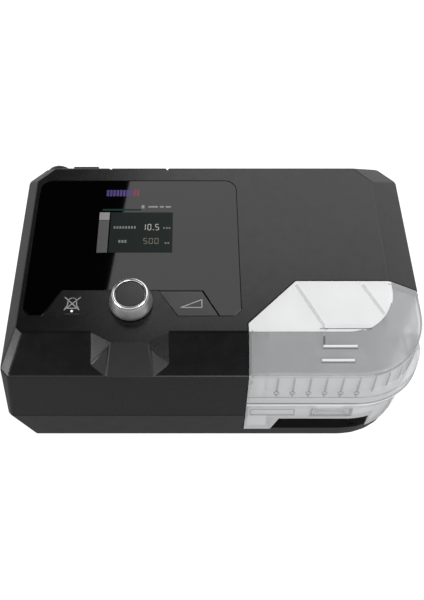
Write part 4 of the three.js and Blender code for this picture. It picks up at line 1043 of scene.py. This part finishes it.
def tank_tub():
    top = TANK_SEAM - 0.15
    tub = shared(joined(tank_form(), tank_rim()), tank_plan(TANK_MARGIN, TUB_BOTTOM, top))
    floor = TUB_BOTTOM + TANK_WALL
    lever_wall = block(
        (LEVER_LEFT - 3, -5, 0),
        (LEVER_RIGHT + 4, LEVER_DEPTH + 2.4, LEVER_TOP + 2.4),
    )
    inside = shared(tank_form(TANK_WALL), tank_plan(TANK_MARGIN + TANK_WALL, floor, top + 5))
    inside = cut(inside, grip_pocket(TANK_WALL), lever_wall)
    opening = block(
        (HEATER_LOW[0] + 5, HEATER_LOW[1] + 5, 0),
        (HEATER_HIGH[0] - 5, HEATER_HIGH[1] - 5, floor + 1),
    )
    rebate = block(
        (HEATER_LOW[0] - 1, HEATER_LOW[1] - 1, 0),
        (HEATER_HIGH[0] + 1, HEATER_HIGH[1] + 1, TUB_BOTTOM + 1.1),
    )
    tub = cut(tub, inside, grip_pocket(0), lever_space(GAP), opening, rebate)
    ears = [
        block((x, 7.2, 19), (x + 3, LEVER_DEPTH + 1, LEVER_TOP + 1))
        for x in (LEVER_LEFT + 3, LEVER_RIGHT - 12)
    ]
    tub = joined(tub, *ears)
    pivot = [(x, LEVER_PIVOT_Y, LEVER_PIVOT_Z) for x in (LEVER_LEFT, LEVER_RIGHT)]
    tub = cut(tub, bar(*pivot, LEVER_PIVOT_BORE))
    tub = cut(tub, knuckle(LID_KNUCKLE, GAP))
    tub = joined(tub, *[knuckle(span) for span in TUB_KNUCKLES])
    return cut(tub, hinge_bore())


PORTS_X = (74.0, 111.0)  # the two round openings through the lid's back wall
PORT_HEIGHT = 78
PORT_RADIUS = 8.5


def tank_lid():
    low = TANK_SEAM + 0.15
    lid = shared(joined(tank_form(), tank_rim()), tank_plan(TANK_MARGIN, low))
    inside = shared(tank_form(TANK_WALL), tank_plan(TANK_MARGIN + TANK_WALL, low - 5))
    lid = cut(lid, inside)
    for x in PORTS_X:
        ends = [(x, BAY_BACK_Y + y, PORT_HEIGHT) for y in (-12, 4)]
        lid = cut(lid, bar(*ends, PORT_RADIUS))
    lid = cut(lid, *[knuckle(span, GAP) for span in TUB_KNUCKLES])
    lid = joined(lid, knuckle(LID_KNUCKLE))
    return cut(lid, hinge_bore())


TOP_STEEP = 0.9  # least upward share of a face's normal on the top, and on the band
BAND_STEEP = 0.3


def by_slope(thing):
    """Paints light and shade by slope: level faces high on the lid get a lighter copy of the clear
    plastic (painted light), the slanting band a darker copy (painted shade).
    """
    plain, lit_top, shaded_band = range(3)
    for material in (CLEAR_TOP_PAINTED_LIGHT, CLEAR_BAND_PAINTED_SHADE):
        thing.data.materials.append(material)
    for face in thing.data.polygons:
        rise = abs(face.normal.z)
        high = face.center.z > SHOULDER_HEIGHT * MM
        if high and rise > TOP_STEEP:
            face.material_index = lit_top
        elif high and rise > BAND_STEEP:
            face.material_index = shaded_band
        else:
            face.material_index = plain


finished(tank_tub(), "tub_clear", "water_tank", CLEAR, ["tank_tub"])
lid = finished(tank_lid(), "lid_clear", "lid", CLEAR, ["tank_lid"])
by_slope(lid)
softened("release_lever", 0.4, "lever_black", "lever", LEVER)


def upright_wall(start, end, thick, low, high):
    """A thin upright wall between two points of the plan."""
    start, end = Vector(start), Vector(end)
    along = (end - start).normalized()
    side = Vector((-along.y, along.x)) * thick / 2
    outline = [start - side, end - side, end + side, start + side]
    return prism([tuple(point) for point in outline], low, high)


def under_lid(walls, wall):
    """Upright walls trimmed to reach up into the lid's own thickness."""
    return shared(joined(*walls), tank_form(wall), tank_plan(TANK_MARGIN + 0.3, 0))


BAFFLE_LOW = TANK_SEAM + 3
BAFFLE_THICK = 1.3
baffle_walls = [
    upright_wall((56.7, 64), (75.2, 14.6), BAFFLE_THICK, BAFFLE_LOW, FAR_UP),
    upright_wall((103.8, 64), (118.0, 31.0), BAFFLE_THICK, BAFFLE_LOW, FAR_UP),
    upright_wall((74.9, 15.3), (96.0, 15.3), BAFFLE_THICK, BAFFLE_LOW, 82),
]
baffle = under_lid(baffle_walls, 0.1)
finished(baffle, "baffle_clear", "lid", CLEAR_SHADE, ["tank_baffle"])
baffle_tops = [
    slope_prism(stroke((57.0, 58.5), (74.0, 25.0), 2.4), -0.4, 0.03),
    slope_prism(stroke((103.8, 58.5), (114.5, 37.5), 2.4), -0.4, 0.03),
]
finished(joined(*baffle_tops), "baffle_edges", "lid", CLEAR_FAINT)
guides = [
    upright_wall((x, 64), (x, 0), thick, BAFFLE_LOW, FAR_UP)
    for x, thick in ((26.5, 2.6), (34.5, 2.0))
]
finished(under_lid(guides, TANK_WALL), "lid_guides", "lid", CLEAR_LINE)

# ribs inside the front wall that carry on round the corner, and a bright dot under each
RIB_PITCH = 11.1
RIB_FIRST = 41.8
RIB_COUNT = 6
RIB_CORNER_COUNT = 6
RIB_LOW, RIB_HIGH = 57.5, 79.0
RIB_THICK = 1.4
RIB_OUTER, RIB_INNER = 0.1, 3.4
CORNER_MIDDLE = Vector((BODY_RIGHT - TANK_CORNER, TANK_CORNER))


def rib_at(angle):
    """A rib set along the round corner; the angle is measured from its middle."""
    across = Vector((math.cos(angle), math.sin(angle)))
    outer = CORNER_MIDDLE + across * (TANK_CORNER - RIB_OUTER)
    inner = CORNER_MIDDLE + across * (TANK_CORNER - RIB_INNER)
    return upright_wall(outer, inner, RIB_THICK, RIB_LOW, RIB_HIGH)


rib_places = [RIB_FIRST + RIB_PITCH * number for number in range(RIB_COUNT)]
ribs = [
    upright_wall((x, RIB_OUTER), (x, RIB_INNER), RIB_THICK, RIB_LOW, RIB_HIGH)
    for x in rib_places
]
ribs += [
    rib_at(-math.pi / 2 + number * RIB_PITCH / TANK_CORNER)
    for number in range(1, RIB_CORNER_COUNT + 1)
]
finished(joined(*ribs), "lid_ribs", "lid", CLEAR_SHADE)

DOT_HEIGHT = 61.6
DOT_RADIUS = 1.3
DOT_FRONT = 0.1
DOT_PROFILE = [(0, 0), (1, 0), (0.94, 0.45), (0.6, 0.9), (0, 1)]
COLLAR_PROFILE = [(0, 0), (1.6, 0), (1.6, 0.5), (0, 0.5)]
COLLAR_DEPTH = 0.6


def studs(profile, front):
    """One small turned shape on the front wall at the foot of each rib."""
    facing = Matrix.Rotation(math.pi / 2, 4, "X")
    shape = [(radius * DOT_RADIUS, height) for radius, height in profile]
    return [
        turned(shape, Matrix.Translation((x, front, DOT_HEIGHT)) @ facing, 24)
        for x in rib_places
    ]


finished(joined(*studs(DOT_PROFILE, DOT_FRONT + 1)), "lid_dots", "lid", DOT_WHITE)
collars = joined(*studs(COLLAR_PROFILE, DOT_FRONT + COLLAR_DEPTH))
finished(collars, "lid_dot_collars", "lid", CLEAR_SHADE)


def rim_band(low, high, thick):
    """A thin ring that follows the rim's outline, its heights measured from the seam."""
    low, high = TANK_SEAM + low, TANK_SEAM + high
    outer = loft([seam_ring(z, 0.0, LIP_FRONT, LIP_RIGHT, LIP_ROUND) for z in (low, high)])
    inner = loft(
        [seam_ring(z, thick, LIP_FRONT, LIP_RIGHT, LIP_ROUND) for z in (low - 1, high + 1)]
    )
    return shared(cut(outer, inner), tank_plan(TANK_MARGIN + 0.1, 0))


# Lines round the rim: a dark one in the seam between tub and lid is painted shade, a light one
# just below it on the tub's rim is a painted highlight, and a darker one runs near the top of the
# lid's flange.
finished(rim_band(-1.1, -0.2, 1.2), "tub_seam_painted_shade", "water_tank", CLEAR_LINE)
finished(rim_band(-3.0, -1.8, 0.8), "tub_rim_painted_highlight", "water_tank", CLEAR_HIGHLIGHT)
finished(rim_band(6.0, 6.9, 0.8), "lid_rim_line", "lid", CLEAR_SHADE)


def shoulder_line():
    """The dark edge where the front wall turns into the slanting band: a strip of painted shade.
    """
    outer = loft([shoulder_ring(0.5, drop) for drop in (2.4, 1.4)])
    inner = loft([shoulder_ring(1.4, drop) for drop in (2.6, 1.2)])
    return shared(cut(outer, inner), tank_plan(TANK_MARGIN + 0.1, 0))


finished(shoulder_line(), "lid_shoulder_painted_shade", "lid", CLEAR_LINE)


def inner_edge_line(near, far):
    """A darker line just inside the lid's edges along the machine: painted shade."""
    outer = tank_plan(TANK_MARGIN + near, 60)
    inner = tank_plan(TANK_MARGIN + far, 55, FAR_UP + 5)
    skin = cut(tank_form(0.05, False), tank_form(0.8, False))
    return shared(cut(outer, inner), skin)


finished(inner_edge_line(2.0, 2.7), "lid_inner_painted_shade", "lid", CLEAR_SHADE)


def pocket_edge():
    """The slot's mouth, drawn as a darker edge with slanted ends: painted shade round the recess.
    """
    slab = block(
        (GRIP["left"] - 3, 0.9, GRIP["low"] - 3),
        (GRIP["right"] + 3, 2.4, GRIP["high"] + 3),
    )
    return cut(shared(slab, grip_pocket(0.6)), grip_pocket(-0.05))


finished(pocket_edge(), "grip_edge_painted_shade", "water_tank", CLEAR_SHADE)
# A white block at the back of the slot: painted light where the back of the slot shows bright.
pocket_face = block(
    (GRIP["left"] + 5, GRIP["depth"] - 0.9, GRIP["low"] + 0.8),
    (GRIP["right"] - 5, GRIP["depth"] - 0.1, GRIP["high"] - 0.8),
)
finished(pocket_face, "grip_back_painted_light", "water_tank", DOT_WHITE)

PLATE = {"left": 25.0, "right": 57.0, "low": 33.5, "high": 41.0, "line": 0.7}


def plate_frame():
    """The outline of the plain raised plate left of the slot, drawn as a darker frame: painted
    shade along its edges, the plate itself not being modelled.
    """
    line = PLATE["line"]
    outer = block((PLATE["left"], 1.0, PLATE["low"]), (PLATE["right"], 2.2, PLATE["high"]))
    inner = block(
        (PLATE["left"] + line, 0.5, PLATE["low"] + line),
        (PLATE["right"] - line, 3.0, PLATE["high"] - line),
    )
    return cut(outer, inner)


finished(plate_frame(), "tub_plate_painted_edges", "water_tank", CLEAR_SHADE)

# level marks: raised bars on the slanting band and on the top beside it, made bright as a painted
# highlight, with strips of painted shadow beside them
BAND_RISE = (TOP_HEIGHT + TOP_SLOPE * TOP_FRONT_Y - SHOULDER_HEIGHT) / TOP_FRONT_Y
BAND_TILT = math.atan(BAND_RISE)
BAND_PLACE = Matrix.Translation((0, 0, SHOULDER_HEIGHT)) @ Matrix.Rotation(BAND_TILT, 4, "X")


def band_bar(left, right, y, wide, low, high):
    """A bar lying on the slanting band, at the given distance back from the front."""
    along = y / math.cos(BAND_TILT)
    bar_shape = block((left, along - wide / 2, low), (right, along + wide / 2, high))
    bar_shape.data.transform(BAND_PLACE)
    return bar_shape


BURIED, MARK_RAISE, SHADE_RAISE = -0.3, 0.25, 0.12  # from the wall's surface
marks = [
    band_bar(72.0, 95.0, 15.7, 1.5, BURIED, MARK_RAISE),
    band_bar(71.0, 93.0, 8.6, 1.5, BURIED, MARK_RAISE),
    slope_prism(rectangle(73.0, 104.0, 25.6, 28.0), BURIED, MARK_RAISE),
]
finished(joined(*marks), "level_marks", "lid", CLEAR_HIGHLIGHT)
# painted shadow beside the bars, and a short dark piece of painted shade at the left end of the
# upper band bars
shades = [
    band_bar(71.5, 95.5, 14.3, 0.6, BURIED, SHADE_RAISE),
    band_bar(70.5, 93.5, 7.2, 0.6, BURIED, SHADE_RAISE),
    band_bar(72.0, 73.2, 18.0, 7.0, BURIED, SHADE_RAISE),
    slope_prism(rectangle(70.0, 105.0, 25.0, 25.6), BURIED, SHADE_RAISE),
]
finished(joined(*shades), "level_mark_painted_shadows", "lid", CLEAR_LINE)

softened("card_flap", 0.4, "card_lid", "card_door", RUBBER)

# ---- CAD nodes that keep their shape, and the material for each slot ----

KEPT = {
    "rubber": RUBBER,
    "steel": STEEL,
    "silicone": SILICONE,
    "white": WHITE,
    "board": BOARD,
    "aluminium": ALUMINIUM,
    "copper": COPPER,
    "foam": FOAM,
    "screen": SCREEN,
    "housing": HOUSING,
    "base": BASE,
    "clear": CLEAR,
}
SLOT_OF = {part["node"]: part["material_slot"] for part in frame["record"]["subparts"]}

for node, thing in frame["nodes"].items():
    if thing.hide_render:
        continue
    # the tank's gasket takes the dark grey that paints the seam's shade
    surface = GASKET_SEAM_SHADE if node == "tank_gasket" else KEPT.get(SLOT_OF[node], HOUSING)
    for holder in thing.material_slots:
        holder.material = surface

# ---- floor, light and camera ----


def sheet_of(name, corners, material):
    mesh = bpy.data.meshes.new(name)
    mesh.from_pydata(corners, [], [tuple(range(len(corners)))])
    mesh.materials.append(material)
    thing = bpy.data.objects.new(name, mesh)
    scene.collection.objects.link(thing)


FLOOR_HALF = 6.0
FLOOR_SEEN = 1.0
FLOOR_LIGHT = 0.2


def seen_or_lit(tree, seen, lit):
    """One value where the floor is looked at, another where it lights the object."""
    path = tree.nodes.new("ShaderNodeLightPath")
    mix = tree.nodes.new("ShaderNodeMix")
    mix.inputs["A"].default_value = lit
    mix.inputs["B"].default_value = seen
    tree.links.new(path.outputs["Is Camera Ray"], mix.inputs["Factor"])
    return mix.outputs["Result"]


def floor_material():
    material, tree, shader, place = shader_nodes("floor_white")
    cloud = spread(tree, noise(tree, place, 400.0, 2.0), 0.0, 1.0)
    tone = blend_colours(tree, cloud, (0.19, 0.19, 0.19), (0.21, 0.21, 0.21))
    tree.links.new(tone, shader.inputs["Base Color"])
    shader.inputs["Emission Color"].default_value = (1, 1, 1, 1)
    glow = seen_or_lit(tree, FLOOR_SEEN, FLOOR_LIGHT)
    tree.links.new(glow, shader.inputs["Emission Strength"])
    shader.inputs["Roughness"].default_value = 0.9
    return material


def card_material(name, strength):
    """A plain glow of the given strength."""
    material = bpy.data.materials.new(name)
    material.use_nodes = True
    tree = material.node_tree
    tree.nodes.clear()
    glow = tree.nodes.new("ShaderNodeEmission")
    glow.inputs["Strength"].default_value = strength
    out = tree.nodes.new("ShaderNodeOutputMaterial")
    tree.links.new(glow.outputs["Emission"], out.inputs["Surface"])
    return material


floor_corners = rectangle(-FLOOR_HALF, FLOOR_HALF, -FLOOR_HALF, FLOOR_HALF)
sheet_of("floor", [(x, y, 0) for x, y in floor_corners], floor_material())

# A bright card overhead. Its left edge shows in the glossy panel as a slanting line.
CARD_HEIGHT = 0.9
CARD_STRENGTH = 1.8
CARD_EDGE_BACK = (-0.088, 0.850)
CARD_EDGE_FRONT = (-0.1976, 0.160)
CARD_RIGHT = 1.1
card_corners = [
    CARD_EDGE_FRONT,
    CARD_EDGE_BACK,
    (CARD_RIGHT, CARD_EDGE_BACK[1]),
    (CARD_RIGHT, CARD_EDGE_FRONT[1]),
]
card_glow = card_material("card_glow", CARD_STRENGTH)
sheet_of("light_card", [(x, y, CARD_HEIGHT) for x, y in card_corners], card_glow)


def area_light(name, spot, target, power, wide, tall):
    """A soft rectangular light in metres and watts, facing its target."""
    data = bpy.data.lights.new(name, "AREA")
    data.energy = power
    data.shape = "RECTANGLE"
    data.size = wide
    data.size_y = tall
    light = bpy.data.objects.new(name, data)
    light.location = spot
    aim = Vector(target) - Vector(spot)
    light.rotation_euler = aim.to_track_quat("-Z", "Y").to_euler()
    scene.collection.objects.link(light)


area_light("key_light", (0.92, -0.64, 0.54), (0.06, -0.05, 0.06), 6.5, 0.6, 0.4)
area_light("front_fill", (0.30, -1.20, 0.25), (0.10, -0.05, 0.06), 2.0, 0.8, 0.4)
area_light("left_light", (-1.10, -0.62, 0.55), (-0.10, -0.04, 0.08), 6.5, 0.6, 0.4)

world = bpy.data.worlds.new("studio")
scene.world = world
world.use_nodes = True
world_tree = world.node_tree
backdrop = world_tree.nodes["Background"]

# The sky is bright near the horizon and dark overhead; heights are sines of the elevation.
SKY_BRIGHT_UP_TO, SKY_DARK_FROM = 0.38, 0.68
SKY_BRIGHT, SKY_DARK = 0.9, 0.012
sky_place = world_tree.nodes.new("ShaderNodeTexCoord")
sky_split = world_tree.nodes.new("ShaderNodeSeparateXYZ")
world_tree.links.new(sky_place.outputs["Generated"], sky_split.inputs["Vector"])
sky_height = sky_split.outputs["Z"]
sky = spread(world_tree, sky_height, SKY_BRIGHT, SKY_DARK, SKY_BRIGHT_UP_TO, SKY_DARK_FROM)
sky.node.interpolation_type = "SMOOTHSTEP"
world_tree.links.new(sky, backdrop.inputs["Strength"])
backdrop.inputs["Color"].default_value = (1, 1, 1, 1)

SENSOR = 36.0
LENS = 41.04
FRAMING_SHIFT = 0.0333
CAMERA_SPOT = (-0.01985, -0.3724, 0.4471)
CAMERA_TILT = math.radians(44.0)  # up from looking straight down
camera_data = bpy.data.cameras.new("camera")
camera_data.sensor_width = SENSOR
camera_data.lens = LENS
camera_data.shift_x = FRAMING_SHIFT
camera_data.clip_start = 0.01
camera_data.clip_end = 50.0
camera = bpy.data.objects.new("camera", camera_data)
camera.location = CAMERA_SPOT
camera.rotation_euler = (CAMERA_TILT, 0.0, 0.0)
scene.collection.objects.link(camera)
scene.camera = camera

scene.view_settings.view_transform = "Standard"
